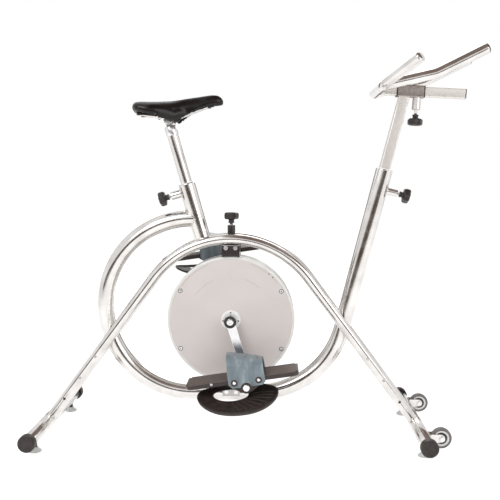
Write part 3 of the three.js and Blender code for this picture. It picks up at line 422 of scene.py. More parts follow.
def milky_vinyl():
    vinyl = Finish("milky_vinyl")
    vinyl.set("Alpha", 0.86)
    clouds = vinyl.noise(0.006, 3)
    vinyl.tint(clouds, (0.3, (205, 210, 206)), (0.7, (236, 238, 235)))
    vinyl.set("Roughness", vinyl.grey(clouds, 0.24, 0.36))
    vinyl.bump(clouds, 0.08, 0.0004)
    return vinyl.material


def strap_vinyl():
    vinyl = Finish("strap_vinyl")
    streaks = vinyl.noise(0.02, 3, 0.5, (1, 0.5, 0.3))
    marks = vinyl.noise(0.0026, 3)
    # Painted highlight: the strap is tinted lighter along its sharp edges, for the rim highlight on them.
    edges = vinyl.outer_edge_mask()
    shades = (0.3, (112, 126, 134)), (0.55, (134, 148, 155)), (0.75, (172, 183, 187))
    vinyl.tint(streaks * 0.8 + marks * 0.2 + edges * 0.2, *shades)
    vinyl.set("Roughness", vinyl.grey(streaks, 0.26, 0.42))
    vinyl.set("Alpha", vinyl.grey(streaks, 0.84, 0.95))
    vinyl.set("Coat Weight", 0.3)
    vinyl.bump(marks + streaks, 0.1, 0.0005)
    return vinyl.material


def dark_rubber(name, dark, light, rough):
    rubber = Finish(name)
    dust = rubber.noise(0.012, 4)
    edges = rubber.outer_edge_mask()
    rubber.tint(dust + edges * 0.2, (0.35, dark), (0.75, light))
    rubber.set("Roughness", rubber.grey(dust, rough - 0.12, rough + 0.08))
    rubber.bump(rubber.noise(0.0007, 2), 0.22, 0.0003)
    return rubber.material


brushed_steel = drawn_steel(
    "brushed_steel", 0.0007, 0.04, (148, 139, 134), (186, 177, 172), 1.0, (0.28, 0.42), 0.12
)
satin_steel = drawn_steel(
    "satin_steel", 0.0008, 0.05, (222, 217, 212), (236, 231, 227), 0.85, (0.34, 0.46), 0.1
)
# Painted highlight: the housing's rim band gets a lighter copy of the housing plastic, for the light its
# rounded rim catches from above.
lit_rim_plastic = moulded("lit_housing_rim_plastic", (228, 227, 222), (240, 239, 235), 0.4)

# Each look's slot of the record, and its material.
looks = {
    "steel": ("steel", polished_steel()),
    "brushed": ("brushed", brushed_steel),
    "satin": ("brushed", satin_steel),
    "alloy": ("alloy", polished_alloy()),
    "zinc": ("zinc", zinc_plate()),
    "black": ("black", moulded("black_plastic", (26, 20, 19), (50, 42, 40), 0.34)),
    "rubber": ("rubber", dark_rubber("black_rubber", (36, 28, 26), (64, 54, 50), 0.5)),
    "vinyl": ("vinyl", saddle_vinyl()),
    "housing": ("housing", housing_plastic()),
    "rim": ("housing", lit_rim_plastic),
    # Painted shade: the pressed marks are a darker copy of the housing plastic.
    "mark": ("housing", moulded("pressed_mark_shaded", (190, 180, 176), (204, 194, 190), 0.5)),
    "white": ("white", moulded("white_plastic", (240, 238, 236), (252, 251, 250), 0.36)),
    "clear": ("clear", milky_vinyl()),
    "strap": ("strap", strap_vinyl()),
    # The footplate's tread rubber is lighter than its body's: painted light on the plate's top.
    "board": ("board", dark_rubber("footplate_rubber", (78, 66, 61), (104, 90, 84), 0.5)),
    "tyre": ("tyre", dark_rubber("grey_tyre", (104, 100, 99), (138, 133, 132), 0.66)),
}


# Mesh making


def edges_among(mesh, verts):
    chosen = set(verts)
    return [e for e in mesh.edges if e.verts[0] in chosen and e.verts[1] in chosen]


def moved(mesh, matrix):
    bmesh.ops.transform(mesh, matrix=matrix, verts=mesh.verts[:])
    return mesh


def mirrored(mesh):
    moved(mesh, Matrix.Diagonal((1, -1, 1, 1)))
    bmesh.ops.reverse_faces(mesh, faces=mesh.faces[:])
    return mesh


def joined(first, *others):
    for other in others:
        holder = bpy.data.meshes.new("joining")
        other.to_mesh(holder)
        other.free()
        first.from_mesh(holder)
        bpy.data.meshes.remove(holder)
    return first


def outward(mesh):
    bmesh.ops.remove_doubles(mesh, verts=mesh.verts[:], dist=0.002)
    bmesh.ops.dissolve_degenerate(mesh, edges=mesh.edges[:], dist=0.001)
    bmesh.ops.recalc_face_normals(mesh, faces=mesh.faces[:])
    return mesh


def bevelled(mesh, edges, offset, segments):
    bmesh.ops.bevel(
        mesh, geom=edges, offset=offset, offset_type="OFFSET", affect="EDGES", segments=segments, profile=0.5,
        material=-1,
    )
    return mesh


def drawn_out(mesh, lines, step):
    """Extrudes edges by a step, and gives the new ones at its end."""
    made = bmesh.ops.extrude_edge_only(mesh, edges=lines)["geom"]
    verts = [v for v in made if isinstance(v, bmesh.types.BMVert)]
    bmesh.ops.translate(mesh, verts=verts, vec=step)
    chosen = set(verts)
    return [e for e in made if isinstance(e, bmesh.types.BMEdge) and set(e.verts) <= chosen]


def swung(mesh, lines, centre, axis, angle, steps):
    """Spins edges about an axis, and gives the new ones at its end."""
    made = bmesh.ops.spin(mesh, geom=lines, cent=centre, axis=axis, angle=math.radians(angle), steps=steps)
    return [e for e in made["geom_last"] if isinstance(e, bmesh.types.BMEdge)]


def thickened(mesh, step):
    """A flat mesh made a solid that is one step thick."""
    made = bmesh.ops.extrude_face_region(mesh, geom=mesh.faces[:])["geom"]
    verts = [v for v in made if isinstance(v, bmesh.types.BMVert)]
    bmesh.ops.translate(mesh, verts=verts, vec=step)
    return outward(mesh)


def plate(outline, y, thickness):
    """A plate with an outline of (x, z) points, from y on."""
    mesh = bmesh.new()
    mesh.faces.new([mesh.verts.new((x, y, z)) for x, z in outline])
    return thickened(mesh, (0, thickness, 0))


def bridged(mesh, loops):
    for one, two in zip(loops, loops[1:]):
        bmesh.ops.bridge_loops(mesh, edges=one + two)
    return mesh


def turned(profile, steps=48, axis="Z"):
    """A profile of (radius, height) pairs spun about an axis through 0."""
    mesh = bmesh.new()
    points = [mesh.verts.new((radius, 0, height)) for radius, height in profile]
    lines = [mesh.edges.new(pair) for pair in zip(points, points[1:])]
    bmesh.ops.spin(
        mesh, geom=points + lines, cent=(0, 0, 0), axis=(0, 0, 1), angle=math.tau, steps=steps, use_merge=True
    )
    return moved(outward(mesh), towards(axis))


def closed(*profile):
    """A profile that ends where it starts."""
    return [*profile, profile[0]]


def wall_of(radius, start, end):
    """A straight wall's profile, with a ring near each end that keeps the
    rim's shading off it."""
    return [(radius, start), (radius, start + ring_inset), (radius, end - ring_inset), (radius, end)]


def rod(radius, start, end, steps, axis="Z"):
    return turned([(0, start), (radius, start), (radius, end), (0, end)], steps, axis)


def block(x0, x1, y0, y1, z0, z1):
    mesh = bmesh.new()
    size = Matrix.Diagonal((x1 - x0, y1 - y0, z1 - z0, 1))
    middle = move((x0 + x1) / 2, (y0 + y1) / 2, (z0 + z1) / 2)
    bmesh.ops.create_cube(mesh, size=1, matrix=middle @ size)
    return mesh


def rounded(mesh, offset, segments, along=None):
    """Bevels every edge, or those that run along one axis."""
    chosen = []
    for edge in mesh.edges:
        if along is None or abs((edge.verts[1].co - edge.verts[0].co).normalized()[along]) > 0.99:
            chosen.append(edge)
    return bevelled(mesh, chosen, offset, segments)


def square(width, corner, start, end, axis="X"):
    half = width / 2
    mesh = rounded(block(-half, half, -half, half, start, end), corner, 4, 2)
    return moved(mesh, towards(axis))


def square_pipe(width, corner, wall, start, end):
    """A square tube along X with open ends and walls."""
    mesh = square(width, corner, start, end, "Z")
    caps = [f for f in mesh.faces if abs(f.normal.z) > 0.9]
    for cap in caps:
        bmesh.ops.inset_region(mesh, faces=[cap], thickness=wall, use_even_offset=True)
    bmesh.ops.bridge_loops(mesh, edges=[e for cap in caps for e in cap.edges])
    bmesh.ops.delete(mesh, geom=caps, context="FACES_ONLY")
    return moved(mesh, towards("X"))


class Tube:
    """A round tube laid run by run and bend by bend."""

    def __init__(self, start, heading, radius, steps=32):
        self.mesh = bmesh.new()
        self.at = Vector(start)
        self.heading = Vector(heading).normalized()
        matrix = facing(self.at, self.heading)
        bmesh.ops.create_circle(self.mesh, segments=steps, radius=radius, matrix=matrix)
        self.ring = self.mesh.edges[:]

    def to(self, point):
        """Straight on, with a ring near each end that keeps a bend's shading
        off the run."""
        step = Vector(point) - self.at
        hold = min(ring_inset, step.length / 3)
        for part in (hold, step.length - 2 * hold, hold):
            self.ring = drawn_out(self.mesh, self.ring, step.normalized() * part)
        self.at = Vector(point)
        return self

    def bend(self, centre, axis, angle, steps):
        self.ring = swung(self.mesh, self.ring, centre, axis, angle, steps)
        about = Matrix.Rotation(math.radians(angle), 4, axis)
        self.at = Vector(centre) + about @ (self.at - Vector(centre))
        self.heading = about @ self.heading
        return self

    def through(self, points, radius, steps):
        """On through the points, with a round bend at each but the last."""
        for corner, after in zip(points, points[1:]):
            back = (self.at - corner).normalized()
            ahead = (after - corner).normalized()
            half = back.angle(ahead) / 2
            centre = corner + (back + ahead).normalized() * radius / math.sin(half)
            self.to(corner + back * radius / math.tan(half))
            self.bend(centre, (-back).cross(ahead).normalized(), 180 - math.degrees(half) * 2, steps)
        return self.to(points[-1])


def object_of(name, mesh):
    data = bpy.data.meshes.new(name)
    mesh.to_mesh(data)
    mesh.free()
    made = bpy.data.objects.new(name, data)
    bpy.context.scene.collection.objects.link(made)
    return made


def piece(name, mesh, look, body="frame", at=Matrix(), edge=0, wall=0, smooth=35, node=None):
    """Finishes a mesh as an object that rides on a body. It takes the place
    of the CAD node that is named, or else of the one with its own name."""
    moved(moved(mesh, at), to_frame)
    limit = math.radians(smooth)
    for face in mesh.faces:
        face.smooth = True
    for line in mesh.edges:
        line.smooth = len(line.link_faces) != 2 or line.calc_face_angle(0) < limit
    made = object_of(name, mesh)
    slot, material = looks[look]
    made.data.materials.append(material)
    if wall:
        shell = made.modifiers.new("wall", "SOLIDIFY")
        shell.thickness = wall / 1000
        shell.offset = -1
        shell.use_even_offset = True
    if edge:
        soften = made.modifiers.new("edges", "BEVEL")
        soften.width = edge / 1000
        soften.segments = 2
        soften.limit_method = "ANGLE"
        soften.angle_limit = limit
        soften.harden_normals = True
    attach(made, body)
    if (node or name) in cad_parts:
        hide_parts(node or name)
    return made


def hex_bolt(radius, height, washer, axis="Z"):
    """A hexagon head on a washer, from 0 up."""
    head = bmesh.new()
    middle = move(0, 0, washer + height / 2)
    bmesh.ops.create_cone(
        head, cap_ends=True, segments=6, radius1=radius, radius2=radius, depth=height, matrix=middle
    )
    return moved(joined(head, rod(radius * 1.35, 0, washer, 32)), towards(axis))


def weld(name, rail, radius, body="frame"):
    """A rippled bead along a closed rail of points."""
    mesh = bmesh.new()
    loops = []
    for i, point in enumerate(rail):
        ahead = rail[(i + 1) % len(rail)] - rail[i - 1]
        size = radius * (1 + 0.12 * (-1) ** i)
        made = bmesh.ops.create_circle(mesh, segments=8, radius=size, matrix=facing(point, ahead))["verts"]
        loops.append(edges_among(mesh, made))
    piece(name, outward(bridged(mesh, closed(*loops))), "steel", body, smooth=60)


# Main tube, seat tube and the legs


def seat_wall(y, z, radius):
    """The back of a round wall about the seat tube's middle line."""
    lean = math.radians(seat_lean)
    middle = seat_tube_top.x - (z - seat_tube_top.z) * math.tan(lean)
    return middle - math.sqrt(max(radius * radius - y * y, 0)) / math.cos(lean)


def knob_boss(name, at):
    """The short welded tube along X that a clamp's stud runs through."""
    angles = [i * math.tau / 8 for i in range(8)]
    bead = turned(closed(*[(12.5 + 1.8 * math.cos(a), 1.8 * math.sin(a)) for a in angles]), 32, "X")
    boss = rod(boss_radius, main_radius - 3, main_radius + boss_length, 32, "X")
    piece(name, joined(boss, moved(bead, move(main_radius - 1))), "steel", at=at, edge=1.2)


def main_tube():
    """The loop and the front post, cut to the seat tube where it starts."""
    loop_top = loop_centre.z + bend_radius
    tube = Tube((seat_wall(main_radius, loop_top, 0), 0, loop_top), (-1, 0, 0), main_radius, 48)
    tube.to(loop_centre + Vector((0, 0, bend_radius)))
    tube.bend(loop_centre, (0, -1, 0), 180, 64)
    tube.to(front_bend - Vector((0, 0, bend_radius)))
    tube.bend(front_bend, (0, -1, 0), 90 - front_lean, 28)
    tube.to(front_top)
    cut = []
    for vert in tube.mesh.verts:
        wall = seat_wall(vert.co.y, vert.co.z, main_radius) + 1.5
        if vert.co.z > seat_tube_top.z - seat_tube_length and wall < vert.co.x < wall + 2 * main_radius:
            vert.co.x = wall
            cut.append(vert)
    bmesh.ops.remove_doubles(tube.mesh, verts=cut, dist=1.5)
    piece("main_tube", outward(tube.mesh), "steel", wall=2)
    knob_boss("stem_knob_boss", front_place @ move(0, 0, -stem_knob_drop))


def seat_tube():
    pipe = turned(wall_of(main_radius, -seat_tube_length, 0), 48)
    piece("seat_tube", pipe, "steel", at=seat_place, wall=2)
    knob_boss("seat_knob_boss", seat_place @ move(0, 0, -seat_knob_drop) @ turn("Z", 180))


def seam_of_loop():
    """The bead where the level end of the loop meets the seat tube."""
    top = loop_centre.z + bend_radius
    rail = []
    for i in range(56):
        angle = i * math.tau / 56
        y, z = main_radius * math.cos(angle), top + main_radius * math.sin(angle)
        rail.append(Vector((seat_wall(y, z, main_radius + 0.6), y, z)))
    weld("loop_weld", rail, 2.1)


def legs():
    for word, side in sides:
        y = side * arch_y
        foot = Vector((bar_x, y, bar_height)) + 14 * Vector((-leg_slope, 0, 1)).normalized()
        tube = Tube(foot, (-leg_slope, 0, 1), arch_tube_radius, 40)
        tube.to((leg_start.x, y, leg_start.z))
        tube.bend(arch_centre + Vector((0, y, 0)), (0, -1, 0), 180 - 2 * leg_lean, 56)
        tube.to((-foot.x, y, foot.z))
        piece(f"leg_arch_{word}", outward(tube.mesh), "steel", wall=2)
        for end, fore in ends:
            leg_fittings(f"{end}_{word}", side, Vector((fore * bar_x, y, bar_height)), fore)


def leg_fittings(words, side, base, fore):
    """A leg's two rivets, the hole near its foot, and the weld at its base."""
    down = Vector((fore * leg_slope, 0, -1)).normalized()
    for i, along in enumerate(leg_rivets):
        at = base - down * along
        rivet = turned([(0, 0), (4.6, 0), (4.3, 1.6), (2.6, 2.6), (0, 2.8)], 24)
        spot = beside(at.x, at.y + side * (arch_tube_radius - 0.8), at.z, side)
        piece(f"leg_rivet_{words}_{i}", rivet, "zinc", at=spot, edge=0.2)
    at = base - down * leg_hole
    spot = beside(at.x, at.y + side * (arch_tube_radius - 0.5), at.z, side)
    eye = turned(closed((3.6, -1.5), (4.6, -1.5), (4.6, 0.7), (4, 1.1), (3.6, 0.6)), 24)
    piece(f"leg_eyelet_{words}", eye, "zinc", at=spot, edge=0.1)
    # The hole is a black disc in the eyelet: painted shade for the hole's dark inside.
    piece(f"leg_hole_{words}", rod(3.6, -1.5, 0.5, 24), "black", at=spot)
    rail = []
    for i in range(40):
        angle = i * math.tau / 40
        aside = Vector((0, 1, 0)) * arch_tube_radius * math.cos(angle)
        off = aside + Vector((down.z, 0, -down.x)) * arch_tube_radius * math.sin(angle)
        across = Vector((0, 1, 0)).cross(down).dot(off)
        rail.append(base + off - down * math.sqrt(max((bar_radius + 0.5) ** 2 - across * across, 0)))
    weld(f"leg_weld_{words}", rail, 1.8)


def base_bars():
    face = bar_half + 5.3
    cap_edge = [(19.4, -22), (22.6, -22), (24.2, -20.6), (24.2, -3.4), (23.2, -1.1), (21.2, -0.2)]
    cap_edge += [(17.6, 0), (17.0, -0.9), (0, -1.2)]
    cup_edge = [(0, 3.2), (8, 2.8), (13.4, 0.4), (15, 0), (18.2, 0), (19, 0.9), (18.4, 2.4)]
    cup_edge += [(15.6, 5.2), (11.4, 8.4), (9.2, 12.2), (0, 12.6)]
    stem_edge = [(0, 12.3), (7, 12.3), (7.6, 13.2), (7, 14.4), (7, 25.6), (0, 25.6)]
    for end, fore in ends:
        at = place((fore * bar_x, 0, bar_height))
        pipe = turned([(bar_radius, -bar_half), (bar_radius, bar_half)], 40, "Y")
        piece(f"base_bar_{end}", pipe, "steel", at=at, wall=2)
        for word, side in sides:
            cap = turned([(radius, face + height) for radius, height in cap_edge])
            piece(f"end_cap_{end}_{word}", cap, "rubber", at=at @ towards(out_of(side)), edge=0.4)
            spot = move(fore * bar_x, side * (bar_half - foot_inset), 0)
            piece(f"suction_foot_{end}_{word}", turned(cup_edge), "clear", at=spot)
            piece(f"foot_stem_{end}_{word}", turned(stem_edge, 32), "black", at=spot, edge=0.3)


def transport_wheels():
    tread = [(21.5, -8), (25.6, -9), (27.6, -8.2), (28.8, -5.6), (29, -2)]
    rim = [(4.4, -9), (7.6, -9), (8.4, -8.4), (8.8, -5.4), (17.4, -5.4), (18.2, -7.6)]
    rim += [(20.6, -8.2), (21.6, -7.4)]
    # The groove is a black ring on the hub's face: painted shade for the groove.
    groove_shade = [(10.2, -5.9), (16.2, -5.9)]
    for word, side in sides:
        at = place((bar_x + wheel_reach, side * (bar_half - wheel_inset), bar_height))
        for name, half, look, edge in (
            ("transport_wheel", tread, "tyre", 0.3),
            ("wheel_hub", rim, "white", 0.4),
            ("wheel_ring", groove_shade, "black", 0.3),
        ):
            profile = closed(*half, *[(radius, -y) for radius, y in reversed(half)])
            steps = 48 if half is groove_shade else 64
            piece(f"{name}_{word}", turned(profile, steps, "Y"), look, f"wheel_{word}", at, edge)
        wheel_bracket(word, at)


def wheel_bracket(word, at):
    """A bent plate from the bar, its cheeks on both sides of the wheel."""
    back = -wheel_reach + 14.5
    parts = []
    for inner in (-13.5, 11):
        parts.append(plate([(back, -13), (0, -9), (0, 13), (back, 13)], inner, 2.5))
        parts.append(rod(9, inner, inner + 2.5, 32, "Y"))
    parts.append(block(back, -28.6, -13.5, 13.5, 10.5, 13))
    piece(f"wheel_bracket_{word}", joined(*parts), "steel", at=at, edge=0.5)
    heads = [moved(hex_bolt(6, 3.4, 0.8, out_of(end)), move(0, end * 13.5, 0)) for end in (1, -1)]
    pin = joined(rod(4, -13.5, 13.5, 24, "Y"), *heads)
    piece(f"wheel_bolt_{word}", pin, "alloy", at=at, edge=0.4)


main_tube()
seat_tube()
seam_of_loop()
legs()
base_bars()
transport_wheels()


# Drive housing, its bearings and brackets. A mark is a radius and two angles.

# The face marks are drawn darker than the face: painted shade along the pressed lines.
face_marks = (174, 35, 68), (174, 110, 127), (174, 136, 141), (126, 36, 67), (126, 109, 131), (121, 89, 91)
faint_marks = (84, 160, 172), (84, 8, 20), (84, -26, -14), (84, 194, 206)
# The slots are black strips laid on the face: painted shade for the slots' dark insides.
slot_marks = (174.5, 128.5, 130, 2.4), (174.5, 133.5, 135, 2.4)


def raised_arc(radius, start, end, width=1.6):
    """A thin raised mark that follows a circle on the housing's face."""
    mesh = bmesh.new()
    first = math.radians(start)
    low, high = housing_face - 0.1, housing_face + 0.4
    ring = []
    for r, y in ((radius, low), (radius, high), (radius + width, high), (radius + width, low)):
        ring.append(mesh.verts.new((r * math.cos(first), y, r * math.sin(first))))
    lines = [mesh.edges.new(pair) for pair in zip(ring, ring[1:])]
    sweep = math.radians(end - start)
    bmesh.ops.spin(mesh, geom=ring + lines, cent=(0, 0, 0), axis=(0, -1, 0), angle=sweep, steps=20)
    bmesh.ops.holes_fill(mesh, edges=mesh.edges[:], sides=4)
    return outward(mesh)


def housing():
    face = closed((20.4, 36), (179.4, 36), (179.4, 39.6), (32.5, 39.6), (31.5, 40), (20.4, 40))
    band = [(182, 0.4), (187.2, 0.4), (187.2, 36.6), (186.2, 38.8), (184.2, 39.8), (181.4, 40), (180, 39.9)]
    band = closed(*band, (179.6, 39.4), (179.6, 35), (182, 35))
    ring = closed((5.2, 0), (6.4, 0), (6.4, 0.7), (6, 0.9), (5.2, 0.8))
    for word, side in sides:
        at = hub_place @ (Matrix() if side > 0 else turn("Z", 180))
        piece(f"housing_{word}", turned(face, 128, "Y"), "housing", at=at)
        # The band is in the lighter rim plastic: painted highlight.
        piece(f"housing_band_{word}", turned(band, 128, "Y"), "rim", at=at)
        # The slots' black strips are painted shade.
        for name, marks, look in (
            ("marks", face_marks, "mark"), ("ribs", faint_marks, "housing"), ("slots", slot_marks, "black")
        ):
            piece(f"housing_{name}_{word}", joined(*[raised_arc(*mark) for mark in marks]), look, at=at)
        for i, (x, z) in enumerate(((1, 1), (-1, 1), (-1, -1), (1, -1))):
            across = x * bolt_circle * math.cos(math.radians(bolt_angle))
            rise = z * bolt_circle * math.sin(math.radians(bolt_angle))
            spot = hub_place @ beside(across, side * housing_face, rise, side)
            piece(f"housing_rim_{word}_{i}", turned(ring, 32), "black", at=spot)
            piece(f"housing_bolt_{word}_{i}", rod(4.6, -0.5, 1.3, 32), "alloy", at=spot, edge=0.4)
            # The black hexagon on the bolt head is painted shade for its hex socket.
            piece(f"housing_key_{word}_{i}", rod(2, 0, 1.5, 6), "black", at=spot)


def bearings():
    flange = [(10.4, 34), (19.8, 34), (19.8, 40.3), (28.8, 40.3), (28.8, 42.6), (27.6, 44.3), (25.6, 45.2)]
    flange = closed(*flange, (21.5, 45.3), (21.0, 44.4), (10.4, 44.4))
    for word, side in sides:
        aim = hub_place @ towards(out_of(side))
        piece(f"bearing_{word}", turned(flange, 64), "white", at=aim)
        for i, angle in enumerate((90, 185, -5)):
            spot = aim @ turn("Z", angle) @ move(22.6, 0, 44.9)
            dot = turned([(0, 0), (2.3, 0), (2.1, 0.6), (0, 0.7)], 20)
            piece(f"flange_screw_{word}_{i}", dot, "black", at=spot)


def level(height):
    return lambda x: height


def circle_side(centre_z, radius):
    """The height of a circle's top at x, or of its foot for a radius below 0."""
    return lambda x: centre_z + math.copysign(math.sqrt(radius * radius - x * x), radius)


def clipped_bracket(low, high, half_width):
    """A block whose lower and upper faces follow two curves."""
    steps = 14
    mesh = bmesh.new()
    across = [-bracket_length / 2 + i * bracket_length / steps for i in range(steps + 1)]
    feet, heads = [[mesh.verts.new((x, -half_width, curve(x))) for x in across] for curve in (low, high)]
    for i in range(steps):
        mesh.faces.new((feet[i], feet[i + 1], heads[i + 1], heads[i]))
    return thickened(mesh, (0, 2 * half_width, 0))


def brackets():
    seat = housing_radius + 0.4
    under_arch = circle_side(arch_centre.z, arch_radius - arch_tube_radius - 1.2)
    under_housing = circle_side(hub.z, -seat)
    tube_z = loop_centre.z - bend_radius
    body = clipped_bracket(circle_side(hub.z, seat), under_arch, bracket_half)
    piece("top_bracket", body, "black", edge=1.6)
    lip = block(-26, 26, -bracket_half - 0.6, bracket_half + 0.6, 567.4, 568.8)
    piece("top_bracket_strip", lip, "alloy", edge=0.3)
    sleeve = [(5.6, 556), (11.2, 556), (11.2, 583), (11.4, 584), (11.4, 622), (10.6, 624.8), (5.6, 624.8)]
    piece("brake_sleeve", turned(closed(*sleeve), 40), "black")
    bolts = (
        ("top_bolt", bracket_half - 0.2, top_bolt_height),
        ("low_bolt", cheek_middle + cheek_half, low_bolt_height),
    )
    for word, side in sides:
        for i, x in enumerate((-14, 14)):
            for name, y, z in bolts:
                bolt = hex_bolt(4.7, 1.4, 0.7)
                piece(f"{name}_{word}_{i}", bolt, "alloy", at=beside(x, side * y, z, side), edge=0.3)
    for word, side in sides:
        cheek = clipped_bracket(level(tube_z - 5), under_housing, cheek_half)
        node = "bottom_bracket" if side < 0 else None
        spot = move(0, side * cheek_middle, 0)
        piece(f"bottom_bracket_{word}", cheek, "zinc", at=spot, edge=1.2, node=node)
    web = clipped_bracket(level(tube_z + main_radius + 1), under_housing, 26)
    piece("bottom_bracket_web", web, "zinc", edge=1)


# Knobs


def fluted_head(start, thick):
    """A thick disc with scooped flanks, from start up."""
    mesh = bmesh.new()
    bmesh.ops.create_circle(mesh, cap_ends=True, segments=knob_lobes * 12, radius=knob_radius)
    for vert in mesh.verts:
        angle = math.atan2(vert.co.y, vert.co.x)
        scoop = scoop_depth * (0.5 - 0.5 * math.cos(angle * knob_lobes)) ** 0.7
        vert.co *= (knob_radius - scoop) / knob_radius
    thickened(moved(mesh, move(0, 0, start)), (0, 0, thick))
    rims = [e for e in mesh.edges if len(e.link_faces) == 2 and e.calc_face_angle(0) > 1]
    return bevelled(mesh, rims, 6, 6)


def knob(name, body, at):
    """A knob whose hub starts at 0 and points up its place's Z."""
    waist = closed((5.4, 0.2), (8.4, 0.2), (9, 1.2), (9, 3), (8, 5), (8, 8), (9.6, 10.6), (12, 12), (5.4, 12))
    piece(name, joined(fluted_head(11, 20), turned(waist, 40)), "black", body, at, smooth=40)
    disc = turned([(0, 30.7), (10.5, 30.7), (11.2, 30.9), (11.6, 31.3), (12.4, 31.3), (12.8, 30.8)])
    piece(f"{name}_cap", disc, "black", body, at)


def stud(name, body, start, end, at):
    """A threaded stud along its place's Z."""
    pitch = 1.5
    turns = []
    height = start
    while height + pitch < end:
        turns += [(4.6, height), (5.0, height + pitch / 2)]
        height += pitch
    profile = [(0, start), *turns, (4.6, end - 0.2), (0, end - 0.2)]
    piece(name, turned(profile, 24), "alloy", body, at, smooth=20)


def knobs():
    reach = main_radius + boss_length + knob_gap
    back = seat_place @ move(0, 0, -seat_knob_drop) @ turn("Z", 180) @ towards("X")
    ahead = front_place @ move(0, 0, -stem_knob_drop) @ towards("X")
    down = slide_place @ move(slide_knob_ahead, 0, 0) @ turn("X", 180)
    low_reach = sleeve_width / 2 + slide_boss_length + slide_knob_gap
    for word, start, far, at in (
        ("seat", seat_post_radius, reach, back),
        ("stem", stem_width / 2, reach, ahead),
        ("slide", slide_width / 2, low_reach, down),
    ):
        stud(f"{word}_knob_stud", f"{word}_stud", start + 0.3, far + stud_end, at)
        knob(f"{word}_knob", f"{word}_grip", at @ move(0, 0, far))
    knob("brake_knob", "brake_handle", move(0, 0, brake_sleeve_top + knob_gap))
    stud("brake_screw", "brake", hub.z + shoe_top, brake_sleeve_top + knob_gap + stud_end, Matrix())


housing()
bearings()
brackets()
knobs()


# Cranks and pedals. A pedal is laid out as the right one and mirrored.


def crank_turn(side):
    return -crank_angle if side < 0 else 180 - crank_angle


def crank_place(side):
    return hub_place @ turn("Y", crank_turn(side))


def pedal_place(side):
    """The pedal's own place: its spindle, level but for its tilt."""
    return crank_place(side) @ move(0, 0, -crank_length) @ turn("Y", -crank_turn(side) - pedal_tilt)


def crank_arm(side):
    """A tapered flat arm with a round eye at each end."""
    arm = bmesh.new()
    for radius, z in ((14.4, 0), (9.8, -crank_length)):
        matrix = move(0, 0, z) @ turn("X", 90)
        bmesh.ops.create_circle(arm, cap_ends=False, segments=48, radius=radius, matrix=matrix)
    bmesh.ops.convex_hull(arm, input=arm.verts[:])
    bmesh.ops.delete(arm, geom=[v for v in arm.verts if not v.link_faces], context="VERTS")
    bmesh.ops.delete(arm, geom=[f for f in arm.faces if f.normal.y >= 0], context="FACES_ONLY")
    bmesh.ops.dissolve_faces(arm, faces=arm.faces[:])
    moved(thickened(arm, (0, crank_thickness, 0)), move(0, side * crank_middle - crank_thickness / 2, 0))
    near, far = crank_middle - eye_half, crank_middle + eye_half
    eyes = [rod(17.8, near, far, 48, "Y"), moved(rod(12.8, near, far, 48, "Y"), move(0, 0, -crank_length))]
    if side < 0:
        eyes = [mirrored(eye) for eye in eyes]
    return joined(arm, *eyes)


def cranks():
    collar = closed((10.4, 47.2), (17.6, 47.2), (18, 48), (18, 62), (10.4, 62))
    cover = [(10.2, 74), (17.8, 74), (18, 75), (18, 76.4), (16.8, 77.6), (12, 77.9), (10.2, 77)]
    cap = [(0, 76.6), (4.4, 76.6), (4.8, 77.2), (9, 77.6), (9.8, 77.2), (10.2, 76), (10.2, 73)]
    pin = [(0, 70), (7, 70), (7, 186.3), (9.3, 186.3), (9.3, 190.2), (8.4, 191), (3.4, 191)]
    pin += [(3, 190), (0, 190)]
    for word, side in sides:
        at = crank_place(side)
        out = out_of(side)
        piece(f"crank_{word}", crank_arm(side), "alloy", "crankset", at, 1.6)
        piece(f"crank_collar_{word}", turned(collar, 48, out), "alloy", "crankset", at, 0.3)
        piece(f"crank_cover_{word}", turned(cover, 48, out), "black", "crankset", at)
        node = "crank_axle" if side < 0 else None
        piece(f"axle_end_{word}", turned(cap, 40, out), "alloy", "crankset", at, node=node)
        spindle = at @ move(0, 0, -crank_length)
        piece(f"pedal_spindle_{word}", turned(pin, 32, out), "alloy", "crankset", spindle, 0.2)
        piece(f"axle_{word}", rod(10, 30, 47.5, 32, out), "alloy", "crankset", at)


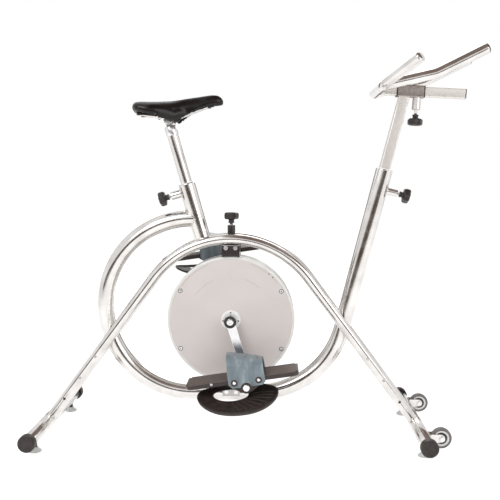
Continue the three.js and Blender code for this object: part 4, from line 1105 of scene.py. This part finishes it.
def footplate(word, side, at):
    y0, y1 = -pedal_inner - pedal_width, -pedal_inner
    top = plate_base + plate_thickness
    back, front = -plate_back, plate_front
    board = rounded(block(back, front, y0, y1, plate_base - 3, top - 1.4), 20, 7, 2)
    tread = rounded(block(back + 1, front - 1, y0 + 1, y1 - 1, top - 2, top - 0.9), 19, 7, 2)
    ribs = []
    x = back + 14
    while x < front - 12:
        ribs.append(block(x, x + tread_pitch / 2, y0 + 7, y1 - 7, top - 2, top))
        x += tread_pitch
    half = [(-52, plate_base + 1), (-52, plate_base - 5), (-15, -12)]
    under = plate([*half, *[(-x, z) for x, z in reversed(half)]], y0, pedal_width)
    lips = []
    for low_y in (y0, y1 - 5):
        lips.append(rounded(block(back + 9, front - 9, low_y, low_y + 5, top - 2, top), 0.9, 2, 0))
    for low_x in (back, front - 9):
        lips.append(rounded(block(low_x, low_x + 9, y0 + 8, y1 - 8, top - 2, top), 1.4, 3, 1))
    foot = moved(block(6, 42, 50, 66, 4.3, 30), dish_place)
    body = joined(board, under, foot)
    top_part = joined(tread, *ribs, *lips)
    if side > 0:
        body, top_part = mirrored(body), mirrored(top_part)
    pedal, out = f"pedal_{word}", out_of(side)
    # Painted light and shade: the tread on top is a lighter rubber than the body, whose sides are left dark
    # for the shade under light from above.
    piece(f"footplate_{word}", body, "rubber", pedal, at, 0.6)
    piece(f"footplate_tread_{word}", top_part, "board", pedal, at, 0.4)
    washer = closed((7.6, 182), (15.6, 182), (16, 183), (16, 185), (15, 185.6), (7.6, 185.6))
    piece(f"spindle_washer_{word}", turned(washer, 40, out), "rubber", pedal, at)
    pin = closed((1.6, 182.4), (3.6, 182.4), (3.6, 183.5), (3, 184), (1.6, 183.8))
    piece(f"plate_pin_{word}", turned(pin, 24, out), "alloy", pedal, at @ move(-95, 0, 21.2))


# The dish under the right pedal sags to the outside.
dish_place = move(-29, -164, -33) @ turn("X", 18) @ turn("Y", 4.5)

# Each ring of the dish: its half length and half width, its height, and its
# middle. The rings go from the hole over the top to the rim and back below.
dish_rings = (
    (50, 30, 0.2, -20, 16),
    (49, 29, 2.2, -20, 16),
    (51.5, 31.5, 4.6, -20, 16),
    (56, 36, 4.9, -18, 14),
    (62, 41, 3.9, -14, 10),
    (84, 56, 3.2, -6, 3),
    (103, 66, 3.6, 0, 0),
    (110, 72, 4.0, 0, 0),
    (113.2, 75.2, 2.6, 0, 0),
    (dish_half, 76, 0, 0, 0),
    (113.4, 75.4, -3.4, 0, 0),
    (111.5, 73.5, -5, 0, 0),
    (109.4, 71.4, -3.8, 0, 0),
    (108.6, 70.6, -0.6, 0, 0),
    (84, 55, -0.4, -6, 3),
    (56, 36, 0, -18, 14),
)


def curled(mesh):
    """Curls the dish's front and rear up."""
    for vert in mesh.verts:
        vert.co.z += 15 * abs(vert.co.x / dish_half) ** 3
    return mesh


def dish(word, side, at):
    mesh = bmesh.new()
    loops = []
    for half_x, half_y, z, x, y in dish_rings:
        matrix = move(x, y, z) @ Matrix.Diagonal((half_x, half_y, 1, 1))
        ring = bmesh.ops.create_circle(mesh, segments=72, radius=1, matrix=matrix)["verts"]
        loops.append(edges_among(mesh, ring))
    outward(curled(bridged(mesh, closed(*loops))))
    ribs = []
    for i in range(8):
        angle = math.radians(-88 + 13 * i)
        inner = Vector((-18 + 60 * math.cos(angle), 14 + 40 * math.sin(angle), 0))
        span = Vector((101 * math.cos(angle), 65 * math.sin(angle), 0)) - inner
        rib = rounded(block(0, span.length, -2, 2, 2.4, 6.4), 1.2, 2, 0)
        aim = Matrix.Rotation(math.atan2(span.y, span.x), 4, "Z")
        ribs.append(curled(moved(rib, Matrix.Translation(inner) @ aim)))
    moved(joined(mesh, *ribs), dish_place)
    if side > 0:
        mirrored(mesh)
    piece(f"pedal_dish_{word}", mesh, "rubber", f"pedal_{word}", at, smooth=40)


def strap_band(inner, outer, top, foot, half, ahead):
    """A band up one side of the foot, over it, and down the other side."""
    corner = 28
    mesh = bmesh.new()
    ends_of_foot = [mesh.verts.new((ahead + x, inner, foot)) for x in (-half, half)]
    bmesh.ops.subdivide_edges(mesh, edges=[mesh.edges.new(ends_of_foot)], cuts=31)
    rail = mesh.edges[:]
    for _ in range(6):
        rail = drawn_out(mesh, rail, (0, 0, (top - corner - foot) / 6))
    rail = swung(mesh, rail, (0, inner - corner, top - corner), (1, 0, 0), 90, 8)
    for _ in range(6):
        rail = drawn_out(mesh, rail, (0, (outer - inner + 2 * corner) / 6, 0))
    rail = swung(mesh, rail, (0, outer + corner, top - corner), (1, 0, 0), 90, 8)
    for _ in range(8):
        rail = drawn_out(mesh, rail, (0, 0, (foot - top + corner) / 8))
    bmesh.ops.remove_doubles(mesh, verts=mesh.verts[:], dist=0.01)
    return mesh


def strap(word, side, at):
    """The arched band over the foot, lower at its front, with its lower
    corners rounded and a notch round the spindle."""
    top, foot, half, ahead = plate_base + plate_thickness + 52, 3.5, 52, 4
    notch = 15.6
    mesh = strap_band(-pedal_inner + 1.8, -pedal_inner - pedal_width - 1.8, top, foot, half, ahead)
    for vert in mesh.verts:
        x, z = vert.co.x, vert.co.z
        high = max(0, min(1, (z - foot) / (top - foot)))
        share = (x - ahead) / half
        vert.co.z -= high * (0.25 * x + 1.5 * abs(share) ** 3)
        vert.co.x *= 1 - 0.05 * high
        if z < foot + 12:
            low = 1 - (z - foot) / 12
            near = max(0, abs(share) - 0.82) / 0.18
            vert.co.x -= math.copysign(7 * near * low * low, share)
            vert.co.z += 3.5 * near * near * low
    for vert in mesh.verts:
        near = math.hypot(vert.co.x, vert.co.z)
        if 0 < near < notch:
            vert.co.x *= notch / near
            vert.co.z *= notch / near
    bmesh.ops.recalc_face_normals(mesh, faces=mesh.faces[:])
    if side > 0:
        mirrored(mesh)
    pedal, out = f"pedal_{word}", out_of(side)
    made = piece(f"foot_strap_{word}", mesh, "strap", pedal, at, 0.5, 2.8)
    made.modifiers["wall"].offset = 0
    washer = [(0, 185), (9.3, 185), (9.3, 187), (8.5, 187.9), (0, 187.9)]
    head = [(0, 187.6), (4.6, 187.6), (4.5, 189.2), (3.4, 190), (1.6, 190), (1.3, 189.4), (0, 189.4)]
    for i, x in enumerate((-31, 37)):
        spot = at @ move(x, 0, 18)
        piece(f"strap_washer_{word}_{i}", turned(washer, 40, out), "rubber", pedal, spot)
        piece(f"strap_bolt_{word}_{i}", turned(head, 28, out), "alloy", pedal, spot)


cranks()
for word, side in sides:
    at = pedal_place(side)
    footplate(word, side, at)
    dish(word, side, at)
    strap(word, side, at)


# Stem, sleeve and handlebar


def bush(name, bore, at):
    """A guide bush whose lip stands on the tube's end."""
    outer = main_radius - 2.3
    lip = [(main_radius - 0.1, 0.3), (main_radius - 0.2, 1.6), (main_radius - 1.4, 2.7), (bore + 0.6, 2.8)]
    piece(name, turned(closed((bore, -38), (outer, -38), (outer, 0.3), *lip, (bore, 2.2))), "white", at=at)


def stem():
    bush("seat_post_bushing", seat_post_radius + 0.4, seat_place)
    bush("stem_bushing", 21.3, front_place)
    for i in range(4):
        pad = block(15.4, 21.5, -15, 15, -36, 2.4)
        piece(f"stem_bush_pad_{i}", pad, "white", at=front_place @ turn("Z", 90 * i), edge=0.5)
    to_sleeve = slide_place.inverted() @ front_place
    along = to_sleeve.to_3x3() @ Vector((0, 0, 1))
    cut_height = -sleeve_width / 2 + 1.2
    post = moved(square(stem_width, square_corner, -150, 215, "Z"), to_sleeve)
    for vert in post.verts:
        if vert.co.z > -60:
            vert.co += along * ((cut_height - vert.co.z) / along.z)
    piece("handlebar_stem", post, "satin", "stem", slide_place)
    half = sleeve_length / 2
    sleeve = square_pipe(sleeve_width, square_corner, 2, -half, half)
    piece("handlebar_sleeve", sleeve, "brushed", "stem", slide_place)
    boss = rod(boss_radius, -sleeve_width / 2 - slide_boss_length, 1 - sleeve_width / 2, 40)
    piece("slide_knob_boss", boss, "steel", "stem", slide_place @ move(slide_knob_ahead, 0, 0), 1.2)
    for end, fore in ends:
        collar = square_pipe(sleeve_width, square_corner, 3.1, fore * half, fore * (half + 3.2))
        piece(f"sleeve_bushing_{end}", collar, "black", "stem", slide_place, 0.5)


def horn_weld(name, middle, heading):
    """The bead round a horn where it leaves the bar square on."""
    radius = grip_radius + 0.6
    along = Vector((0, 1, 0))
    cross = along.cross(heading).normalized()
    rail = []
    for i in range(48):
        angle = i * math.tau / 48
        a, c = radius * math.cos(angle), radius * math.sin(angle)
        rail.append(middle + along * a + cross * c + heading * math.sqrt(max(radius * radius - c * c, 0)))
    weld(name, rail, 1.6, "handlebars")


def handlebar():
    body = "handlebars"
    plug_edge = [(0, -12), (12.1, -12), (12.1, 0.3), (13.9, 0.3), (13.4, 1.8), (11, 3.6)]
    plug_edge += [(6.5, 4.6), (0, 4.8)]
    tips = [Vector((grip_end.x, side * grip_end.y, grip_end.z)) for _, side in sides]
    corners = [Vector((cross_x, side * cross_half, cross_z)) for _, side in sides]
    tube = Tube(tips[0], corners[0] - tips[0], grip_radius, 36)
    tube.through([*corners, tips[1]], 38, 12)
    piece("handlebar", outward(tube.mesh), "steel", body, wall=1.5)
    for (word, side), tip, corner in zip(sides, tips, corners):
        start = Vector((cross_x + 6, side * horn_y, cross_z + 1.3))
        knee = Vector((horn_knee.x, side * horn_y, horn_knee.z))
        end = Vector((horn_end.x, side * horn_y, horn_end.z))
        horn = Tube(start, knee - start, grip_radius, 36)
        horn.through([knee, end], 90, 8)
        piece(f"handlebar_horn_{word}", outward(horn.mesh), "steel", body, wall=1.5)
        horn_weld(f"horn_weld_{word}", Vector((cross_x, side * horn_y, cross_z)), (knee - start).normalized())
        plugs = ("grip_plug", corner, tip, "steel"), ("horn_plug", knee, end, "black")
        for name, before, last, look in plugs:
            at = facing(last, (last - before).normalized())
            piece(f"{name}_{word}", turned(plug_edge, 40), look, body, at)
    bar = square_pipe(slide_width, 2.4, 1.5, cross_x - slide_middle.x + 8, slide_bar_front)
    piece("slide_bar", bar, "satin", body, slide_place)
    plug = joined(
        square(slide_width - 0.3, 2.4, slide_bar_front + 0.2, slide_bar_front + 3),
        square(slide_width - 3.6, 1, slide_bar_front - 13, slide_bar_front + 1),
    )
    piece("slide_bar_plug", plug, "black", body, slide_place, 0.8)


stem()
handlebar()


# Seat post, saddle head, clamp and rails


def seat_post():
    post = turned(wall_of(seat_post_radius, -118, seat_post_shown - 0.3), 40)
    piece("seat_post", post, "steel", "seat_mast", seat_place, wall=2)
    cup = [(16.2, -42), (17, -42), (17.4, -41), (17.4, -17), (16.2, -14.4), (12.4, -13.6), (0, -13.5)]
    ear = rounded(block(-9, 9, -11, 11, -16, 0), 1.2, 3, 0)
    head = joined(turned(cup), ear, rod(9, -11, 11, 40, "Y"))
    piece("saddle_head", head, "alloy", "seat_mast", pivot_place, 0.6)


def saddle_rails():
    """One bent rod: forward on the right, round the nose and back."""
    line = ((-88, 35, 18), (-34, 22, 13), (34, 22, 13), (118, 5, 42))
    right = [Vector((x, -y, z)) for x, y, z in line]
    left = [Vector(point) for point in reversed(line)]
    tube = Tube(right[0], right[1] - right[0], 3.5, 20)
    tube.through([*right[1:], *left], 4.8, 5)
    outward(tube.mesh)
    bmesh.ops.holes_fill(tube.mesh, edges=tube.mesh.edges[:], sides=24)
    piece("saddle_rails", tube.mesh, "steel", "saddle", saddle_place)


def saddle_clamp():
    parts = [rounded(block(-12, 12, -28.5, 28.5, 16.8, 20.4), 1.4, 3, 1)]
    for _, side in sides:
        y0, y1 = sorted((side * 11.6, side * 15.4))
        parts.append(rounded(block(-12, 12, y0, y1, -5.4, 18), 1, 3, 1))
        y0, y1 = sorted((side * 18.4, side * 28.4))
        parts.append(rounded(block(-12, 12, y0, y1, 7.2, 18), 2, 3, 0))
        parts.append(moved(hex_bolt(6.2, 4, 0.8, out_of(side)), move(0, side * 15.4, 0)))
    parts.append(rod(3.9, -15.4, 15.4, 24, "Y"))
    piece("saddle_clamp", joined(*parts), "alloy", "saddle", saddle_place, 0.4)


seat_post()
saddle_rails()
saddle_clamp()


# Saddle cover and its base. Each station, from the tail to the nose: how far
# ahead of the pivot, half width, top and lower edge.

stations = (
    (-101, 50, 43, 27),
    (-97.5, 64, 49.5, 23),
    (-90, 78, 54, 18),
    (-70, 85, 55, 9),
    (-40, 84, 54.5, -8),
    (-10, 70, 56, -21),
    (22, 50, 59, -24),
    (55, 35, 65, 8),
    (90, 27, 70, 25),
    (125, 22.5, 75.5, 38),
    (146, 18.5, 77, 42),
    (159, 12, 70, 44.5),
    (165, 6, 60, 47),
)


def eased(p, q, r, s, t):
    """A smooth curve's number at share t of the way from q to r."""
    return 0.5 * (2 * q + (r - p) * t + (2 * p - 5 * q + 4 * r - s) * t**2 + (3 * q - p - 3 * r + s) * t**3)


def flowing(points):
    """More rows of numbers, on smooth curves through the given ones."""
    steps = 3
    rows = [points[0], *points, points[-1]]
    made = []
    for near in zip(rows, rows[1:], rows[2:], rows[3:]):
        for i in range(steps):
            made.append([eased(*numbers, i / steps) for numbers in zip(*near)])
    return [*made, list(points[-1])]


def saddle_form(inset, cover, below):
    """The saddle's form drawn in all round, under a cover's thickness and
    carried on below."""
    mesh = bmesh.new()
    shorter = 1 - 2 * inset / saddle_length
    loops = []
    for x, half, top, low in flowing(stations):
        ring = bmesh.ops.create_circle(mesh, segments=56, radius=1, matrix=turn("Y", 90))["verts"]
        low, half = low - below, max(half - inset, 1.5)
        top = max(top - cover, low + 1)
        widest = top - min(26, 0.55 * (top - low))
        for vert in ring:
            across, rise = vert.co.y, vert.co.z
            if rise > 0:
                y = math.copysign(abs(across) ** 0.72, across)
                z = widest + (top - widest) * rise**0.85
            else:
                depth = abs(rise) ** 0.4
                y = math.copysign(abs(across) ** 0.3, across) * (1 - 0.2 * depth * depth)
                z = widest - (widest - low) * depth
            vert.co = (saddle_middle + (x - saddle_middle) * shorter, half * y, z)
        loops.append(edges_among(mesh, ring))
    bridged(mesh, loops)
    bmesh.ops.holes_fill(mesh, edges=loops[0] + loops[-1], sides=0)
    return outward(mesh)


def apply_modifiers(target):
    graph = bpy.context.evaluated_depsgraph_get()
    data = bpy.data.meshes.new_from_object(target.evaluated_get(graph))
    target.modifiers.clear()
    old = target.data
    target.data = data
    bpy.data.meshes.remove(old)


def puff(pad, cap):
    """Swells the pad with a short cloth run, each point held to a cap."""
    scene = bpy.context.scene
    start = [v.co.copy() for v in pad.data.vertices]
    cloth = pad.modifiers.new("cloth", "CLOTH")
    cloth.settings.effector_weights.gravity = 0
    cloth.settings.use_pressure = True
    cloth.settings.uniform_pressure_force = 4
    cloth.settings.quality = 5
    for step in range(1, 21):
        scene.frame_set(step)
    graph = bpy.context.evaluated_depsgraph_get()
    swollen = [v.co.copy() for v in pad.evaluated_get(graph).data.vertices]
    pad.modifiers.clear()
    for vert, before, after in zip(pad.data.vertices, start, swollen):
        step = after - before
        vert.co = before + step * min(1, cap / max(step.length, 1e-9))
    scene.frame_set(1)


def saddle_pad():
    """The padded cover: hollow below, remeshed, swollen and smoothed."""
    at = to_frame @ saddle_place
    pad = object_of("saddle_pad", moved(saddle_form(2.2, 2.2, 0), at))
    hollow = object_of("saddle_hollow", moved(saddle_form(9.5, 15, 30), at))
    cut = pad.modifiers.new("hollow", "BOOLEAN")
    cut.operation = "DIFFERENCE"
    cut.object = hollow
    apply_modifiers(pad)
    bpy.data.objects.remove(hollow)
    remesh = pad.modifiers.new("remesh", "REMESH")
    remesh.mode = "VOXEL"
    remesh.voxel_size = 0.004
    apply_modifiers(pad)
    puff(pad, 0.0022)
    relax = pad.modifiers.new("relax", "SMOOTH")
    relax.factor = 0.5
    relax.iterations = 9
    finer = pad.modifiers.new("finer", "SUBSURF")
    finer.levels = finer.render_levels = 1
    apply_modifiers(pad)
    for face in pad.data.polygons:
        face.use_smooth = True
    pad.data.materials.clear()
    pad.data.materials.append(looks["vinyl"][1])
    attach(pad, "saddle")
    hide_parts("saddle_pad")


def saddle_base():
    """The shell under the cover, open below, and its sockets for the rails."""
    shell = saddle_form(15, 20, -14)
    low = [f for f in shell.faces if f.normal.z < -0.35]
    bmesh.ops.delete(shell, geom=low, context="FACES")
    piece("saddle_base", shell, "black", "saddle", saddle_place, wall=2.4)
    for word, side in sides:
        socket = rounded(block(-86, -70, side * 35 - 8, side * 35 + 8, 15, 33), 2, 3)
        piece(f"rail_socket_{word}", socket, "black", "saddle", saddle_place)
    socket = rounded(block(110, 124, -9, 9, 37, 46), 2, 3)
    piece("rail_socket_nose", socket, "black", "saddle", saddle_place)


saddle_pad()
saddle_base()


# Brake rotor and shoe, inside the housing

rotor_half = [(10.4, -18), (26, -18), (26, -3), (152, -3), (152, -14), (160, -14)]
rotor = closed(*rotor_half, *[(radius, -y) for radius, y in reversed(rotor_half)])
piece("brake_rotor", turned(rotor, 96, "Y"), "zinc", "crankset", hub_place, 0.8)
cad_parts["brake_shoe"].data.materials.clear()
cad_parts["brake_shoe"].data.materials.append(looks["black"][1])


# Floor, world and the dark cards that the polished tubes reflect, in metres


def staged(name, mesh, material):
    made = object_of(name, mesh)
    made.data.materials.append(material)
    return made


def make_floor():
    """A pale floor that shows white, but keeps the shadow on it."""
    mesh = bmesh.new()
    bmesh.ops.create_grid(mesh, x_segments=1, y_segments=1, size=30, matrix=move(0, 0, -0.0005))
    pale = Finish("pale_floor")
    pale.set("Base Color", (0.93, 0.93, 0.93, 1))
    pale.set("Roughness", 0.9)
    black, white = (0, 0, 0, 1), (1, 1, 1, 1)
    glow = pale.node("ShaderNodeMix", {"data_type": "RGBA"}, {0: pale.shown(), 6: black, 7: white})
    pale.set("Emission Color", glow.out(2))
    pale.set("Emission Strength", 0.48)
    staged("floor", mesh, pale.material)


def make_world():
    world = bpy.data.worlds.new("studio")
    bpy.context.scene.world = world
    world.use_nodes = True
    sky = Tree(world.node_tree)
    white = (1, 1, 1, 1)
    light = sky.node("ShaderNodeBackground", {}, {"Color": white, "Strength": 0.6})
    shown = sky.node("ShaderNodeBackground", {}, {"Color": white, "Strength": 1})
    mix = sky.node("ShaderNodeMixShader", {}, {0: sky.shown(), 1: light.out(0), 2: shown.out(0)})
    sky.feed(sky.nodes["World Output"].inputs["Surface"], mix.out(0))


def dark_card(name, low, high, colour):
    """A flat card between two corners. It only shows in what shines."""
    size = Vector(high) - Vector(low)
    thin = min(range(3), key=lambda axis: size[axis])
    mesh = block(low[0], high[0], low[1], high[1], low[2], high[2])
    face = [f for f in mesh.faces if abs(f.normal[thin]) > 0.9][0]
    bmesh.ops.delete(mesh, geom=[f for f in mesh.faces if f != face], context="FACES")
    dark = Finish(name)
    dark.set("Base Color", (0, 0, 0, 1))
    dark.set("Specular IOR Level", 0.0)
    dark.set("Emission Color", (*linear(colour), 1))
    dark.set("Emission Strength", 1.0)
    card = staged(name, mesh, dark.material)
    card.visible_camera = False
    card.visible_diffuse = False
    card.visible_shadow = False
    card.visible_transmission = False


make_floor()
make_world()
dark_card("dark_card_above", (-0.35, -3, 2.3), (3, 0.5, 2.31), (136, 121, 114))
dark_card("dark_card_front", (-5.2, -3.01, 0.22), (2.5, -3, 1.12), (88, 76, 68))
for word, side in sides:
    near, far = sorted((side * 0.7, side * 2.9))
    dark_card(f"dark_card_behind_{word}", (near, 3.2, 0.1), (far, 3.21, 2.2), (128, 117, 111))
